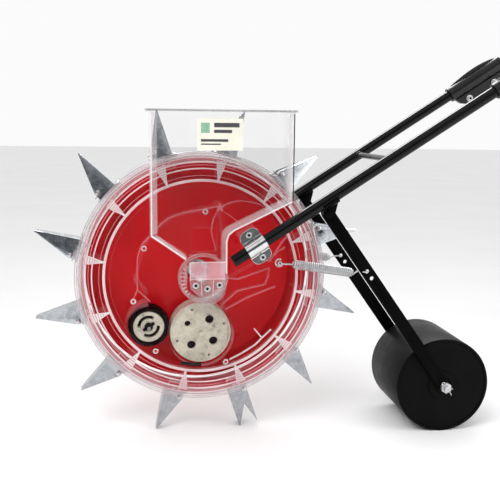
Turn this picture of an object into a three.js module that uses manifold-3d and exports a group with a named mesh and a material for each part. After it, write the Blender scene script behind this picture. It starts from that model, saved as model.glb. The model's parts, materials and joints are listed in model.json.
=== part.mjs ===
// Push seeder: a rolling drum with twelve duckbill openers, a seed hopper and metering wheel,
// two push bars and a trailing press roller.
// Millimetres, +Z up. The machine travels towards -X; the axle lies along Y through (0, 0)
// while it is modelled, and the finished group is moved to stand on its box's bottom centre.
import * as THREE from "three";
import { mergeVertices } from "three/addons/utils/BufferGeometryUtils.js";
import Module from "manifold-3d";

const wasm = await Module();
wasm.setup();

// ---- driving dimensions -------------------------------------------------------------
const GAP = 0.3; // clearance between pieces that touch
const RAD = Math.PI / 180;

const OPENERS = 12; // duckbills round the drum
const PITCH_DEG = 360 / OPENERS;
const OPENER_PHASE_DEG = 14.5; // angle of the first duckbill's tip, from +X towards +Z
const OPEN_JAW = 10; // the duckbill that stands open in the ground (number 10 of 1 to 12)
const OPEN_JAW_DEG = 26;

const DRUM_R = 212; // outer radius of the clear drum ring
const LIP_R = 217.5; // lips that stand up from the ring at both edges, beside the openers
const DRUM_NEAR_Y = -50; // near face of the drum
const DRUM_FAR_Y = 42;
const DRUM_WALL = 3.5;
const LIP_WALL = 2.5;
const RIM_R = 167; // inner edge of the drum's near face
const DISC_R = 203; // red back disc
const DISC_Y = [38.3, 42];
const RIB_RADII = [191];

const TIP_R = 296; // radius of the duckbill tips
const BILL_BASE_R = DRUM_R + 0.6;
const BILL_WIDTH = [44, 24]; // along the axle, at the base and at the tip
const BILL_SPINE_S = -6; // where the spine meets the base, measured along the rim
const BILL_LEAD_S = 30; // leading corner of the base
const BILL_LEAD_R = 229;
const BILL_PIN = [24.5, 226.5]; // jaw pin: along the rim, and radius
const BILL_SHEET = 1.6;

const GEAR_MODULE = 4.3;
const RING_TEETH = 72;
const METER_TEETH = 24;
const BRUSH_TEETH = 12;
const TOOTH_TIP = 2.6; // height of a tooth above the pitch line
const TOOTH_ROOT = 3.4; // depth of a gap below the pitch line
const RING_GEAR_Y = [26.3, 38];
const WHEEL_GEAR_Y = [27, 37];
const METER_ANGLE = 270; // direction of the metering wheel from the axle
const BRUSH_ANGLE = 225;
const METER_R = 54;
const METER_Y = [-30, 12];
const CELLS = 4;
const BRUSH_CORE_R = 28;
const BRUSH_R = 37;
const BRUSH_Y = [-28, 10];

const AXLE_R = 10;
const COVER_R = 163.5;
const COVER_Y = [-48.5, -45.5];
const CHAMBER_Y = [-45.2, 20];
const CHAMBER_WALL = 2;
const HUB_R = 42;
const HUB_Y = [-63.7, -48.8];

const HOPPER_X = [-90, 144];
const HOPPER_Y = [-128, -64];
const HOPPER_TOP = 286;
const HOPPER_WALL = 2.5;
const HOPPER_CORNER = 15;
const FLANGE = 8;
const DUCT_X = [-20, 24];
const DUCT_Z = [47, 88];

const BAR_ANGLE = 32.8; // slope of the push bars
const BAR_Z0 = 3.5; // height of the bar's line over the axle
const BAR_Y = 102;
const BAR_R = 10;
const BAR_BORE = 8.4;
const BAR_START = 58; // distances along the bar, from the axle
const CLAMP_AT = 104;
const PIVOT_AT = 249;
const ROD_AT = 376;
const CONNECTOR_AT = 589;
const CONNECTOR_LONG = 120;
const BAR_END = 645;
const UPPER_START = 651;
const UPPER_BEND_AT = 1085;
const GRIP_SLOPE = 8;
const GRIP_LONG = 122;
const GRIP_R = 15.5;

const PIVOT = [211, 115.5];
const ROLLER_AXIS = [436, -200.6];
const ARM_Y = 90;
const ARM_WIDE = 22;
const ARM_THICK = 5;
const ROLLER_R = 86;
const ROLLER_HALF = 80;
const ROLLER_AXLE_R = 6;
const SPRING_Y = 84;
const SPRING_POST = [130, 29];
const SPRING_COIL = [[153, 26.5], [262, 9.5]];
const SPRING_HOLE = 126; // distance of the spring's hole down the arm from its pivot
const SPRING_R = 7.2;
const SPRING_WIRE = 1.2;
const SPRING_TURNS = 13;

const SIDES_LARGE = 44; // facets round the drum, its disc, the cover and the roller
const SIDES_TUBE = 20;

// ---- colours ------------------------------------------------------------------------
function paint(color, roughness, metalness, opacity = 1) {
  const finish = new THREE.MeshStandardMaterial({ color, roughness, metalness });
  finish.transparent = opacity < 1;
  finish.opacity = opacity;
  return finish;
}
const CLEAR = paint(0xdfe6e6, 0.15, 0, 0.35);
const RED = paint(0xb01c28, 0.4, 0);
const ZINC = paint(0x9aa1a6, 0.45, 0.9);
const CHROME = paint(0xd6d8da, 0.15, 1);
const STEEL = paint(0x8b9094, 0.35, 1);
const GLOSS_BLACK = paint(0x0b0b0c, 0.2, 0);
const PLASTIC_BLACK = paint(0x17181a, 0.45, 0);
const RUBBER = paint(0x1b1b1c, 0.8, 0);
const BEIGE = paint(0xcdc5b2, 0.5, 0);
const BRISTLE = paint(0x141414, 0.9, 0);

// ---- solids -------------------------------------------------------------------------
const group = new THREE.Group();

function solid(geometry) {
  const bare = geometry.clone();
  bare.deleteAttribute("normal");
  bare.deleteAttribute("uv");
  const merged = mergeVertices(bare, 1e-4);
  const corners = merged.index.array;
  const faces = [];
  for (let i = 0; i < corners.length; i += 3) {
    const [a, b, c] = corners.slice(i, i + 3);
    if (a !== b && b !== c && c !== a) {
      faces.push(a, b, c);
    }
  }
  const mesh = new wasm.Mesh({
    numProp: 3,
    vertProperties: new Float32Array(merged.attributes.position.array),
    triVerts: new Uint32Array(faces),
  });
  return new wasm.Manifold(mesh);
}

function unite(parts) {
  return parts.reduce((whole, part) => whole.add(part));
}

function cut(body, tools) {
  return tools.reduce((left, tool) => left.subtract(tool), body);
}

function put(name, body, material) {
  const mesh = body.getMesh();
  const geometry = new THREE.BufferGeometry();
  geometry.setAttribute("position", new THREE.BufferAttribute(mesh.vertProperties, 3));
  geometry.setIndex(new THREE.BufferAttribute(mesh.triVerts, 1));
  geometry.computeVertexNormals();
  const node = new THREE.Mesh(geometry, material);
  node.name = name;
  group.add(node);
}

function outline(points) {
  return new THREE.Shape(points.map(([a, b]) => new THREE.Vector2(a, b)));
}

// A flat outline in X and Z, carried along Y from y0 to y1.
function slab(shape, y0, y1) {
  const geometry = new THREE.ExtrudeGeometry(shape, { depth: y1 - y0, bevelEnabled: false,
    curveSegments: 8 });
  geometry.rotateX(Math.PI / 2);
  geometry.translate(0, y1, 0);
  return solid(geometry);
}

function block(x, y, z) {
  const geometry = new THREE.BoxGeometry(x[1] - x[0], y[1] - y[0], z[1] - z[0]);
  geometry.translate((x[0] + x[1]) / 2, (y[0] + y[1]) / 2, (z[0] + z[1]) / 2);
  return solid(geometry);
}

// A cylinder along Y about the point (x, z).
function peg(x, z, radius, y0, y1, sides = 20) {
  const geometry = new THREE.CylinderGeometry(radius, radius, y1 - y0, sides);
  geometry.translate(x, (y0 + y1) / 2, z);
  return solid(geometry);
}

// A profile of (radius, y) points turned about the Y axis through (x, z). It starts and
// ends on the axis, or closes on itself.
function turned(profile, sides, x = 0, z = 0) {
  const points = profile.map(([r, y]) => new THREE.Vector2(r, y));
  if (profile[0][0] > 0) {
    points.push(points[0].clone());
  }
  const geometry = new THREE.LatheGeometry(points, sides);
  geometry.translate(x, 0, z);
  const made = solid(geometry);
  return made.volume() > 0 ? made : solid(flipped(geometry));
}

function flipped(geometry) {
  const index = geometry.index.array.slice();
  for (let i = 0; i < index.length; i += 3) {
    [index[i], index[i + 1]] = [index[i + 1], index[i]];
  }
  geometry.setIndex(new THREE.BufferAttribute(index, 1));
  return geometry;
}

function ringProfile(inner, outer, y0, y1) {
  return [[inner, y0], [outer, y0], [outer, y1], [inner, y1]];
}

// A band of one thickness along an open line of points.
function band(points, thickness) {
  const line = points.map(([a, b]) => new THREE.Vector2(a, b));
  const side = (sign) => line.map((point, i) => {
    const before = line[Math.max(i - 1, 0)];
    const after = line[Math.min(i + 1, line.length - 1)];
    const into = (i === 0 ? after.clone().sub(point) : point.clone().sub(before)).normalize();
    const out = (i === line.length - 1 ? point.clone().sub(before) : after.clone().sub(point)).normalize();
    const normal = new THREE.Vector2(-(into.y + out.y), into.x + out.x).normalize();
    const reach = thickness / 2 / Math.max(normal.dot(new THREE.Vector2(-into.y, into.x)), 0.4);
    return point.clone().addScaledVector(normal, sign * reach);
  });
  return new THREE.Shape([...side(1), ...side(-1).reverse()]);
}

function arcPoints(x, z, radius, fromDeg, toDeg, steps) {
  const points = [];
  for (let i = 0; i <= steps; i++) {
    const a = (fromDeg + ((toDeg - fromDeg) * i) / steps) * RAD;
    points.push([x + radius * Math.cos(a), z + radius * Math.sin(a)]);
  }
  return points;
}

function polar(radius, deg) {
  return [radius * Math.cos(deg * RAD), radius * Math.sin(deg * RAD)];
}

// Turn a solid made at angle 0 about the axle, towards +Z.
function aboutAxle(body, deg) {
  return body.rotate([0, -deg, 0]);
}

// ---- places along the push bars -----------------------------------------------------
const barDir = [Math.cos(BAR_ANGLE * RAD), Math.sin(BAR_ANGLE * RAD)];

// Point at distance t along the bars, n above their axis.
function onBar(t, n = 0) {
  return [t * barDir[0] - n * barDir[1], BAR_Z0 + t * barDir[1] + n * barDir[0]];
}

// A round solid along the bars, from a closed profile of (radius, distance) points.
function alongBar(profile, y, sides = SIDES_TUBE) {
  const made = turned(profile, sides);
  const tilted = made.rotate([0, 0, -90]).rotate([0, -BAR_ANGLE, 0]);
  return tilted.translate([0, y, BAR_Z0]);
}

// ---- drum ---------------------------------------------------------------------------
function drumRing() {
  const face = [[RIM_R, DRUM_NEAR_Y]];
  for (const r of RIB_RADII) {
    face.push([r - 1.5, DRUM_NEAR_Y], [r - 1, DRUM_NEAR_Y - 2], [r + 1, DRUM_NEAR_Y - 2],
      [r + 1.5, DRUM_NEAR_Y]);
  }
  const inside = DRUM_R - DRUM_WALL;
  const profile = [
    ...face,
    [LIP_R, DRUM_NEAR_Y], [LIP_R, DRUM_NEAR_Y + LIP_WALL], [DRUM_R, DRUM_NEAR_Y + LIP_WALL],
    [DRUM_R, DRUM_FAR_Y - LIP_WALL], [LIP_R, DRUM_FAR_Y - LIP_WALL], [LIP_R, DRUM_FAR_Y],
    [inside, DRUM_FAR_Y],
    [inside, 38], [199, 38], [199, 35.5], [inside, 35.5],
    [inside, DRUM_NEAR_Y + 3], [RIM_R + 3, DRUM_NEAR_Y + 3], [RIM_R + 3, -38], [RIM_R, -38],
  ];
  const parts = [turned(profile, SIDES_LARGE)];
  const mouths = [];
  for (let i = 0; i < OPENERS; i++) {
    const tip = OPENER_PHASE_DEG + i * PITCH_DEG;
    const wedge = outline([[RIM_R + 1, -1.5], [inside + 1, -4.5], [inside + 1, 4.5], [RIM_R + 1, 1.5]]);
    parts.push(aboutAxle(slab(wedge, DRUM_NEAR_Y + 1, 35.5), tip + 6));
    const mouth = block([inside - 6, DRUM_R + 6], [-16, 16], [2, 20]);
    mouths.push(aboutAxle(mouth, tip));
  }
  return cut(unite(parts), mouths);
}

function gearOutline(teeth, inward) {
  const pitchR = (GEAR_MODULE * teeth) / 2;
  const sign = inward ? -1 : 1;
  const step = 360 / teeth;
  const atTip = step * 0.14;
  const atRoot = step * 0.28;
  const points = [];
  for (let i = 0; i < teeth; i++) {
    const a = i * step;
    points.push(polar(pitchR - sign * TOOTH_ROOT, a - atRoot));
    points.push(polar(pitchR + sign * TOOTH_TIP, a - atTip));
    points.push(polar(pitchR + sign * TOOTH_TIP, a + atTip));
    points.push(polar(pitchR - sign * TOOTH_ROOT, a + atRoot));
  }
  return points;
}

function ringGear() {
  const shape = new THREE.Shape();
  shape.absarc(0, 0, RIM_R + 0.6, 0, 2 * Math.PI, false);
  shape.holes.push(new THREE.Path(gearOutline(RING_TEETH, true).map(([a, b]) => new THREE.Vector2(a, b))));
  const geometry = new THREE.ExtrudeGeometry(shape, {
    depth: RING_GEAR_Y[1] - RING_GEAR_Y[0], bevelEnabled: false, curveSegments: 24,
  });
  geometry.rotateX(Math.PI / 2);
  geometry.translate(0, RING_GEAR_Y[1], 0);
  return solid(geometry);
}

// A spur gear in mesh with the ring gear, where the ring has a tooth every 360 / RING_TEETH
// degrees from +X: its gap faces a tooth of the ring, or its tooth faces a gap.
function wheelGear(teeth, direction, centre) {
  const gear = slab(outline(gearOutline(teeth, false)), WHEEL_GEAR_Y[0], WHEEL_GEAR_Y[1]);
  const facesTooth = Number.isInteger((direction * RING_TEETH) / 360);
  const turn = facesTooth ? direction + 180 / teeth : direction;
  return aboutAxle(gear, turn).translate([centre[0], 0, centre[1]]);
}

// ---- duckbill openers, made with the tip towards +X and then turned -------------------
function billWidth(radius) {
  const share = (radius - BILL_BASE_R) / (TIP_R - BILL_BASE_R);
  return BILL_WIDTH[0] + (BILL_WIDTH[1] - BILL_WIDTH[0]) * share;
}

// A flat outline of (along the rim, radius) points, tapering across like the duckbill.
function billSolid(points, inset) {
  const shape = outline(points.map(([s, r]) => [r, s]));
  const geometry = new THREE.ExtrudeGeometry(shape, { depth: 2, bevelEnabled: false });
  geometry.rotateX(Math.PI / 2);
  geometry.translate(0, 1, 0);
  const place = geometry.attributes.position;
  for (let i = 0; i < place.count; i++) {
    place.setY(i, place.getY(i) * (billWidth(place.getX(i)) / 2 - inset));
  }
  return solid(geometry);
}

function fixedJaw() {
  const plate = block([BILL_BASE_R, BILL_BASE_R + 2], [-25, 25], [-14, 35]);
  const body = billSolid([
    [BILL_SPINE_S, BILL_BASE_R], [BILL_LEAD_S, BILL_BASE_R], [BILL_LEAD_S, BILL_LEAD_R], [1.5, TIP_R],
    [0, TIP_R],
  ], 0);
  const inside = billSolid([
    [BILL_SPINE_S + BILL_SHEET, BILL_BASE_R - 4], [BILL_LEAD_S + 20, BILL_BASE_R - 4],
    [BILL_LEAD_S + 20, BILL_LEAD_R], [12, TIP_R + 8], [BILL_SHEET, TIP_R - 0.5],
  ], BILL_SHEET);
  const mouth = block([BILL_BASE_R - 4, BILL_BASE_R + 6], [-15, 15], [0, 20]);
  const half = billWidth(BILL_PIN[1]) / 2;
  const pin = peg(BILL_PIN[1], BILL_PIN[0], 2.2, -half - 1.6, half + 1.6, 8);
  const heads = [-1, 1].map((side) => {
    const from = side * (half - 0.2);
    const to = side * (half + 2);
    return peg(BILL_PIN[1], BILL_PIN[0], 4, Math.min(from, to), Math.max(from, to), 8);
  });
  return unite([cut(unite([plate, body]), [inside, mouth]), pin, ...heads]);
}

function movingJaw() {
  const inset = BILL_SHEET + 1.3;
  const lead = BILL_LEAD_S - 1;
  const body = billSolid([
    [lead, BILL_BASE_R + 5], [lead, BILL_LEAD_R], [2.4, TIP_R - 1], [4, TIP_R - 12],
    [6, 250], [15, BILL_BASE_R + 5],
  ], inset);
  const inside = billSolid([
    [lead - 1.8, BILL_BASE_R], [lead - 1.8, BILL_LEAD_R - 0.6], [2.2, TIP_R - 5.4], [-10, TIP_R - 12],
    [-10, BILL_BASE_R],
  ], inset + BILL_SHEET);
  const bore = peg(BILL_PIN[1], BILL_PIN[0], 2.7, -40, 40, 8);
  const lever = block([BILL_PIN[1] - 6, BILL_PIN[1] - 4.4], [-9, 9], [lead - 1, lead + 7]);
  return cut(unite([body, lever]), [inside, bore]);
}

// ---- seed wheels ----------------------------------------------------------------------
const meterAt = polar((GEAR_MODULE * (RING_TEETH - METER_TEETH)) / 2, METER_ANGLE);
const brushAt = polar((GEAR_MODULE * (RING_TEETH - BRUSH_TEETH)) / 2, BRUSH_ANGLE);

function meteringWheel() {
  const [x, z] = meterAt;
  const parts = [
    turned([[0, METER_Y[0]], [METER_R, METER_Y[0]], [METER_R, METER_Y[1]], [0, METER_Y[1]]], 36, x, z),
    peg(x, z, 8, METER_Y[1] - 1, WHEEL_GEAR_Y[0] + 1, 16),
    peg(x, z, 9, METER_Y[0] - 3, METER_Y[0] + 1, 16),
    peg(x, z, 5, COVER_Y[1] + 0.7, METER_Y[0] + 1, 12),
    wheelGear(METER_TEETH, METER_ANGLE, meterAt),
  ];
  const cuts = [];
  for (let i = 0; i < CELLS; i++) {
    const [cx, cz] = polar(METER_R + 1, METER_ANGLE + (i * 360) / CELLS);
    cuts.push(peg(x + cx, z + cz, 6, -20, -6, 12));
    const [hx, hz] = polar(28, 55 + (i * 360) / CELLS);
    cuts.push(peg(x + hx, z + hz, i === 1 ? 5.5 : 7.8, METER_Y[0] - 1, METER_Y[0] + 14, 14));
    const [sx, sz] = polar(44, 20 + (i * 360) / CELLS);
    cuts.push(peg(x + sx, z + sz, 2.4, METER_Y[0] - 1, METER_Y[0] + 6, 8));
  }
  return cut(unite(parts), cuts);
}

function brushCore() {
  const [x, z] = brushAt;
  const parts = [
    peg(x, z, BRUSH_CORE_R, BRUSH_Y[0], BRUSH_Y[1], 32),
    peg(x, z, 7, BRUSH_Y[1] - 1, WHEEL_GEAR_Y[0] + 1, 16),
    peg(x, z, 4, COVER_Y[1] + 0.7, BRUSH_Y[0] + 1, 12),
    wheelGear(BRUSH_TEETH, BRUSH_ANGLE, brushAt),
  ];
  const slots = [60, 240].map((start) => {
    const arc = band(arcPoints(x, z, 17, start, start + 125, 7), 6);
    return slab(arc, BRUSH_Y[0] - 1, BRUSH_Y[0] + 8);
  });
  return cut(unite(parts), slots);
}

// ---- fixed seed parts -----------------------------------------------------------------
function seedChamber() {
  const [bx, bz] = brushAt;
  const [mx, mz] = meterAt;
  const wall = [
    ...arcPoints(bx, bz, 40.5, 190, 92, 9),
    [-93, -33], [-112, -8], [-99, 52], [-83, 76], [-48, 104], [5, 115], [33, 121], [38, 70], [46, 10],
    [40, -40],
    ...arcPoints(mx, mz, 57.5, 48, -18, 6),
  ];
  const floorArc = arcPoints(0, 0, 152, 292, 218, 8);
  const plate = outline([...wall, ...floorArc]);
  const parts = [
    slab(band(wall, CHAMBER_WALL), CHAMBER_Y[0], CHAMBER_Y[1]),
    slab(plate, CHAMBER_Y[1] - CHAMBER_WALL, CHAMBER_Y[1]),
    peg(33, 121, 8.5, CHAMBER_Y[0], CHAMBER_Y[1], 16),
    peg(5, 115, 5, CHAMBER_Y[0], CHAMBER_Y[1], 14),
    peg(-99, 52, 5, CHAMBER_Y[0], CHAMBER_Y[1], 14),
    peg(-112, -8, 5, CHAMBER_Y[0], CHAMBER_Y[1], 14),
  ];
  return cut(unite(parts), [
    peg(0, 0, AXLE_R + 1, 0, 40, 24), peg(mx, mz, 9, 0, 40, 24), peg(bx, bz, 8, 0, 40, 24),
  ]);
}

function frontCover() {
  const saddle = [CLAMP_AT - 16, CLAMP_AT + 16];
  const pad = outline([onBar(saddle[0], -29), onBar(saddle[1], -29), onBar(saddle[1], 29),
    onBar(saddle[0], 29)]);
  const rib = band([[HUB_R + 2, -2], [99, 28], SPRING_POST], 4);
  const parts = [
    turned([
      [0, COVER_Y[0]], [COVER_R - 6, COVER_Y[0]], [COVER_R - 5, COVER_Y[0] - 3], [COVER_R, COVER_Y[0] - 3],
      [COVER_R, COVER_Y[1]], [0, COVER_Y[1]],
    ], SIDES_LARGE),
    slab(pad, -BAR_Y + BAR_R + GAP, COVER_Y[0] + 1),
    slab(rib, COVER_Y[0] - 9, COVER_Y[0] + 1),
    peg(SPRING_POST[0], SPRING_POST[1], 4.4, -91, COVER_Y[0] + 1),
    peg(SPRING_POST[0], SPRING_POST[1], 9, COVER_Y[0] - 12, COVER_Y[0] + 1),
    peg(SPRING_POST[0], SPRING_POST[1], 8, -91, -89),
    peg(0, 0, AXLE_R + 6, COVER_Y[1] - 1, -30, 24),
  ];
  return cut(unite(parts), [
    peg(0, 0, AXLE_R + GAP, COVER_Y[1], 0, 24),
    block(DUCT_X, [-60, -40], DUCT_Z),
  ]);
}

function hubHousing() {
  const cup = turned([
    [0, HUB_Y[0]], [HUB_R, HUB_Y[0]], [HUB_R, HUB_Y[1]], [HUB_R - 4, HUB_Y[1]],
    [HUB_R - 4, HUB_Y[0] + 2.5], [0, HUB_Y[0] + 2.5],
  ], 32);
  const duct = block([DUCT_X[0] - 2.5, DUCT_X[1] + 2.5], HUB_Y, [DUCT_Z[0] - 7, DUCT_Z[1] + 2.5]);
  return cut(unite([cup, duct]), [block(DUCT_X, [-70, -40], DUCT_Z)]);
}

function hopperSide(grow) {
  const w = grow;
  const shape = new THREE.Shape();
  shape.moveTo(HOPPER_X[0] + w, HOPPER_TOP + 1);
  shape.lineTo(HOPPER_X[0] + w, 81 + w * 0.6);
  shape.lineTo(-32 + w * 0.6, 43 + w);
  shape.absarc(0, 0, 34 - w, 165 * RAD, 375 * RAD, false);
  shape.lineTo(34 - w, 74);
  shape.quadraticCurveTo(36 - w, 85 + w, 46 - w * 0.5, 90 + w);
  shape.lineTo(HOPPER_X[1] - w, 138 + w * 0.6);
  shape.lineTo(HOPPER_X[1] - w, HOPPER_TOP + 1);
  return shape;
}

// A rounded rectangle in X and Y, carried along Z.
function roundedPrism(x, y, radius, z0, z1) {
  const shape = new THREE.Shape();
  const corners = [[x[1], y[1], 0], [x[0], y[1], 90], [x[0], y[0], 180], [x[1], y[0], 270]];
  for (const [cx, cy, start] of corners) {
    const inX = cx === x[1] ? cx - radius : cx + radius;
    const inY = cy === y[1] ? cy - radius : cy + radius;
    shape.absarc(inX, inY, radius, start * RAD, (start + 90) * RAD, false);
  }
  const geometry = new THREE.ExtrudeGeometry(shape, { depth: z1 - z0, bevelEnabled: false,
    curveSegments: 4 });
  geometry.translate(0, 0, z0);
  return solid(geometry);
}

function hopper() {
  const w = HOPPER_WALL;
  const outerX = HOPPER_X;
  const outerY = HOPPER_Y;
  const innerX = [outerX[0] + w, outerX[1] - w];
  const innerY = [outerY[0] + w, outerY[1] - w];
  const outer = slab(hopperSide(0), outerY[0], outerY[1])
    .intersect(roundedPrism(outerX, outerY, HOPPER_CORNER, -60, HOPPER_TOP));
  const inner = slab(hopperSide(w), innerY[0], innerY[1])
    .intersect(roundedPrism(innerX, innerY, HOPPER_CORNER - w, -60, HOPPER_TOP + 2));
  const rim = roundedPrism(
    [outerX[0] - FLANGE, outerX[1] + FLANGE], [outerY[0] - FLANGE, outerY[1] + FLANGE],
    HOPPER_CORNER + FLANGE, HOPPER_TOP - 4, HOPPER_TOP,
  );
  const mouth = roundedPrism(innerX, innerY, HOPPER_CORNER - w, HOPPER_TOP - 20, HOPPER_TOP + 2);
  return cut(unite([outer, rim]), [inner, mouth, block(DUCT_X, [-72, -60], DUCT_Z)]);
}

// ---- axle and far bracket ---------------------------------------------------------------
function farBracket() {
  const saddle = [CLAMP_AT - 18, CLAMP_AT + 18];
  const [postX, postZ] = SPRING_POST;
  const arm = outline([onBar(-30, -22), onBar(saddle[1], -29), onBar(saddle[1], 29), onBar(-30, 22)]);
  const pad = outline([onBar(saddle[0], -29), onBar(saddle[1], -29), onBar(saddle[1], 29),
    onBar(saddle[0], 29)]);
  return cut(unite([
    slab(arm, 54, 62),
    peg(0, 0, 30, 54, 62, 32),
    slab(pad, 54, BAR_Y - BAR_R - GAP),
    slab(band([[96, 36], SPRING_POST], 12), 54, 62),
    peg(postX, postZ, 9, 54, 65),
    peg(postX, postZ, 4.4, 60, 91),
    peg(postX, postZ, 8, 89, 91),
  ]), [peg(0, 0, AXLE_R + GAP, 50, 66, 24)]);
}

function axle() {
  return unite([
    peg(0, 0, AXLE_R, COVER_Y[1] + GAP, 72, 24),
    peg(0, 0, 16, 62.3, 70, 6),
    peg(0, 0, 14, 47, 53.7, 24),
  ]);
}

// ---- push bars and their fittings ---------------------------------------------------------
function pushBar(side) {
  return alongBar(ringProfile(BAR_BORE, BAR_R, BAR_START, BAR_END), side * BAR_Y);
}

function barClamp(side) {
  const reach = [CLAMP_AT - 14, CLAMP_AT + 14];
  const y = side * BAR_Y;
  const strap = alongBar(ringProfile(BAR_R + GAP, BAR_R + 2.6, reach[0], reach[1]), y);
  const inner = Math.min(side * (BAR_Y - BAR_R + GAP), side * (BAR_Y - BAR_R + GAP + 2.4));
  const flange = slab(
    outline([onBar(reach[0], -29), onBar(reach[1], -29), onBar(reach[1], 29), onBar(reach[0], 29)]),
    inner, inner + 2.4,
  );
  const bore = alongBar([[0, reach[0] - 5], [BAR_R + GAP, reach[0] - 5], [BAR_R + GAP, reach[1] + 5],
    [0, reach[1] + 5]], y);
  const below = side < 0 ? [inner + 2.4, -80] : [80, inner];
  const clearance = block([0, 200], below, [0, 200]);
  const heads = [-23, 23].map((n) => {
    const [x, z] = onBar(CLAMP_AT, n);
    const y0 = side < 0 ? inner - 5 : inner + 2;
    return peg(x, z, 6, y0, y0 + 5.4, 6);
  });
  return unite([cut(unite([strap, flange]), [bore, clearance]), ...heads]);
}

function crossRod() {
  const [x, z] = onBar(ROD_AT);
  const end = BAR_Y - BAR_R - GAP;
  return unite([
    peg(x, z, 5, -end, end, 20),
    peg(x, z, 7.5, -end, -end + 5, 20),
    peg(x, z, 7.5, end - 5, end, 20),
  ]);
}

function connector(side) {
  const a = CONNECTOR_AT;
  const b = a + CONNECTOR_LONG;
  const shape = new THREE.Shape();
  const start = (t, n) => new THREE.Vector2(...onBar(t, n));
  const trace = [start(a, -14), start(a + 9, -25), start(a + 24, -33), start(a + 94, -33),
    start(a + 108, -25),
    start(b, -14), start(b, 14)];
  shape.moveTo(trace[0].x, trace[0].y);
  for (const p of trace.slice(1)) {
    shape.lineTo(p.x, p.y);
  }
  const crest = start(a + 76, 32);
  const foot = start(a, 14);
  shape.quadraticCurveTo(crest.x, crest.y, foot.x, foot.y);
  const y = side * BAR_Y;
  const shell = slab(shape, y - 14, y + 14);
  const bore = alongBar([[0, a - 5], [BAR_R + GAP, a - 5], [BAR_R + GAP, b + 5], [0, b + 5]], y);
  const bolts = [a + 30, a + 88].map((t) => peg(...onBar(t, -25), 5, y - 19, y + 19, 12));
  return unite([cut(shell, [bore]), ...bolts]);
}

class HandlePath extends THREE.Curve {
  constructor(y) {
    super();
    this.y = y;
  }

  getPoint(s, target = new THREE.Vector3()) {
    const [x0, z0] = onBar(UPPER_START);
    const [x1, z1] = onBar(UPPER_BEND_AT);
    const slope = GRIP_SLOPE * RAD;
    const bendLong = 90;
    const lengths = [UPPER_BEND_AT - UPPER_START, bendLong, GRIP_LONG + 12];
    const at = s * lengths.reduce((sum, one) => sum + one);
    if (at <= lengths[0]) {
      const share = at / lengths[0];
      return target.set(x0 + (x1 - x0) * share, this.y, z0 + (z1 - z0) * share);
    }
    const turn = slope - BAR_ANGLE * RAD;
    const radius = bendLong / Math.abs(turn);
    const swung = Math.min((at - lengths[0]) / bendLong, 1) * turn;
    const heading = BAR_ANGLE * RAD + swung;
    const x = x1 + radius * (Math.sin(BAR_ANGLE * RAD) - Math.sin(heading));
    const z = z1 + radius * (Math.cos(heading) - Math.cos(BAR_ANGLE * RAD));
    const rest = Math.max(at - lengths[0] - bendLong, 0);
    return target.set(x + rest * Math.cos(heading), this.y, z + rest * Math.sin(heading));
  }
}

function upperTube(side) {
  const section = new THREE.Shape();
  section.absarc(0, 0, BAR_R, 0, 2 * Math.PI, false);
  const hole = new THREE.Path();
  hole.absarc(0, 0, BAR_BORE, 0, 2 * Math.PI, true);
  section.holes.push(hole);
  const geometry = new THREE.ExtrudeGeometry(section, {
    steps: 14, bevelEnabled: false, curveSegments: 6, extrudePath: new HandlePath(side * BAR_Y),
  });
  return solid(geometry);
}

function grip(side) {
  const path = new HandlePath(side * BAR_Y);
  const end = path.getPoint(1);
  const slope = GRIP_SLOPE * RAD;
  const profile = [[0, 4], [GRIP_R - 2, 4], [GRIP_R, 0]];
  const ridges = 4;
  const ridgeLong = (GRIP_LONG - 14) / ridges;
  for (let i = 0; i < ridges; i++) {
    const from = -6 - i * ridgeLong;
    profile.push([GRIP_R - 0.6, from], [GRIP_R - 2.2, from - ridgeLong / 2]);
  }
  profile.push(
    [GRIP_R - 0.6, -GRIP_LONG + 6], [GRIP_R + 2, -GRIP_LONG + 4], [GRIP_R + 2, -GRIP_LONG],
    [BAR_R + GAP, -GRIP_LONG], [BAR_R + GAP, GAP], [0, GAP],
  );
  return turned(profile, 16).rotate([0, 0, -90]).rotate([0, -GRIP_SLOPE, 0])
    .translate([end.x + 0.1 * Math.cos(slope), end.y, end.z + 0.1 * Math.sin(slope)]);
}

function pivotBracket(side) {
  const y = side * BAR_Y;
  const [x, z] = PIVOT;
  const ring = alongBar(ringProfile(BAR_R + GAP, BAR_R + 3, PIVOT_AT - 15, PIVOT_AT + 15), y);
  const [from, to] = [PIVOT_AT - 16, PIVOT_AT + 16];
  const above = slab(outline([onBar(from, -3), onBar(to, -3), onBar(to, 16), onBar(from, 16)]), y - 16,
    y + 16);
  const strap = cut(ring, [above]);
  const faceY = side * (ARM_Y + 5);
  const lug = slab(outline([
    onBar(PIVOT_AT - 15, -11.2), [x - 9, z - 7], [x + 2, z - 11], [x + 11, z - 4],
      onBar(PIVOT_AT + 15, -11.2),
  ]), Math.min(faceY, faceY + side * 4), Math.max(faceY, faceY + side * 4));
  const bolt = peg(x, z, 4, Math.min(side * 84, side * 102), Math.max(side * 84, side * 102), 16);
  const head = peg(x, z, 7.5, Math.min(side * 98, side * 103), Math.max(side * 98, side * 103), 6);
  const nut = peg(x, z, 7.5, Math.min(side * 83, side * 87), Math.max(side * 83, side * 87), 6);
  return unite([strap, lug, bolt, head, nut]);
}

// ---- press arms, roller and spring --------------------------------------------------------
const armLong = Math.hypot(ROLLER_AXIS[0] - PIVOT[0], ROLLER_AXIS[1] - PIVOT[1]);
const armDir = [(ROLLER_AXIS[0] - PIVOT[0]) / armLong, (ROLLER_AXIS[1] - PIVOT[1]) / armLong];

function onArm(distance) {
  return [PIVOT[0] + armDir[0] * distance, PIVOT[1] + armDir[1] * distance];
}

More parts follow.
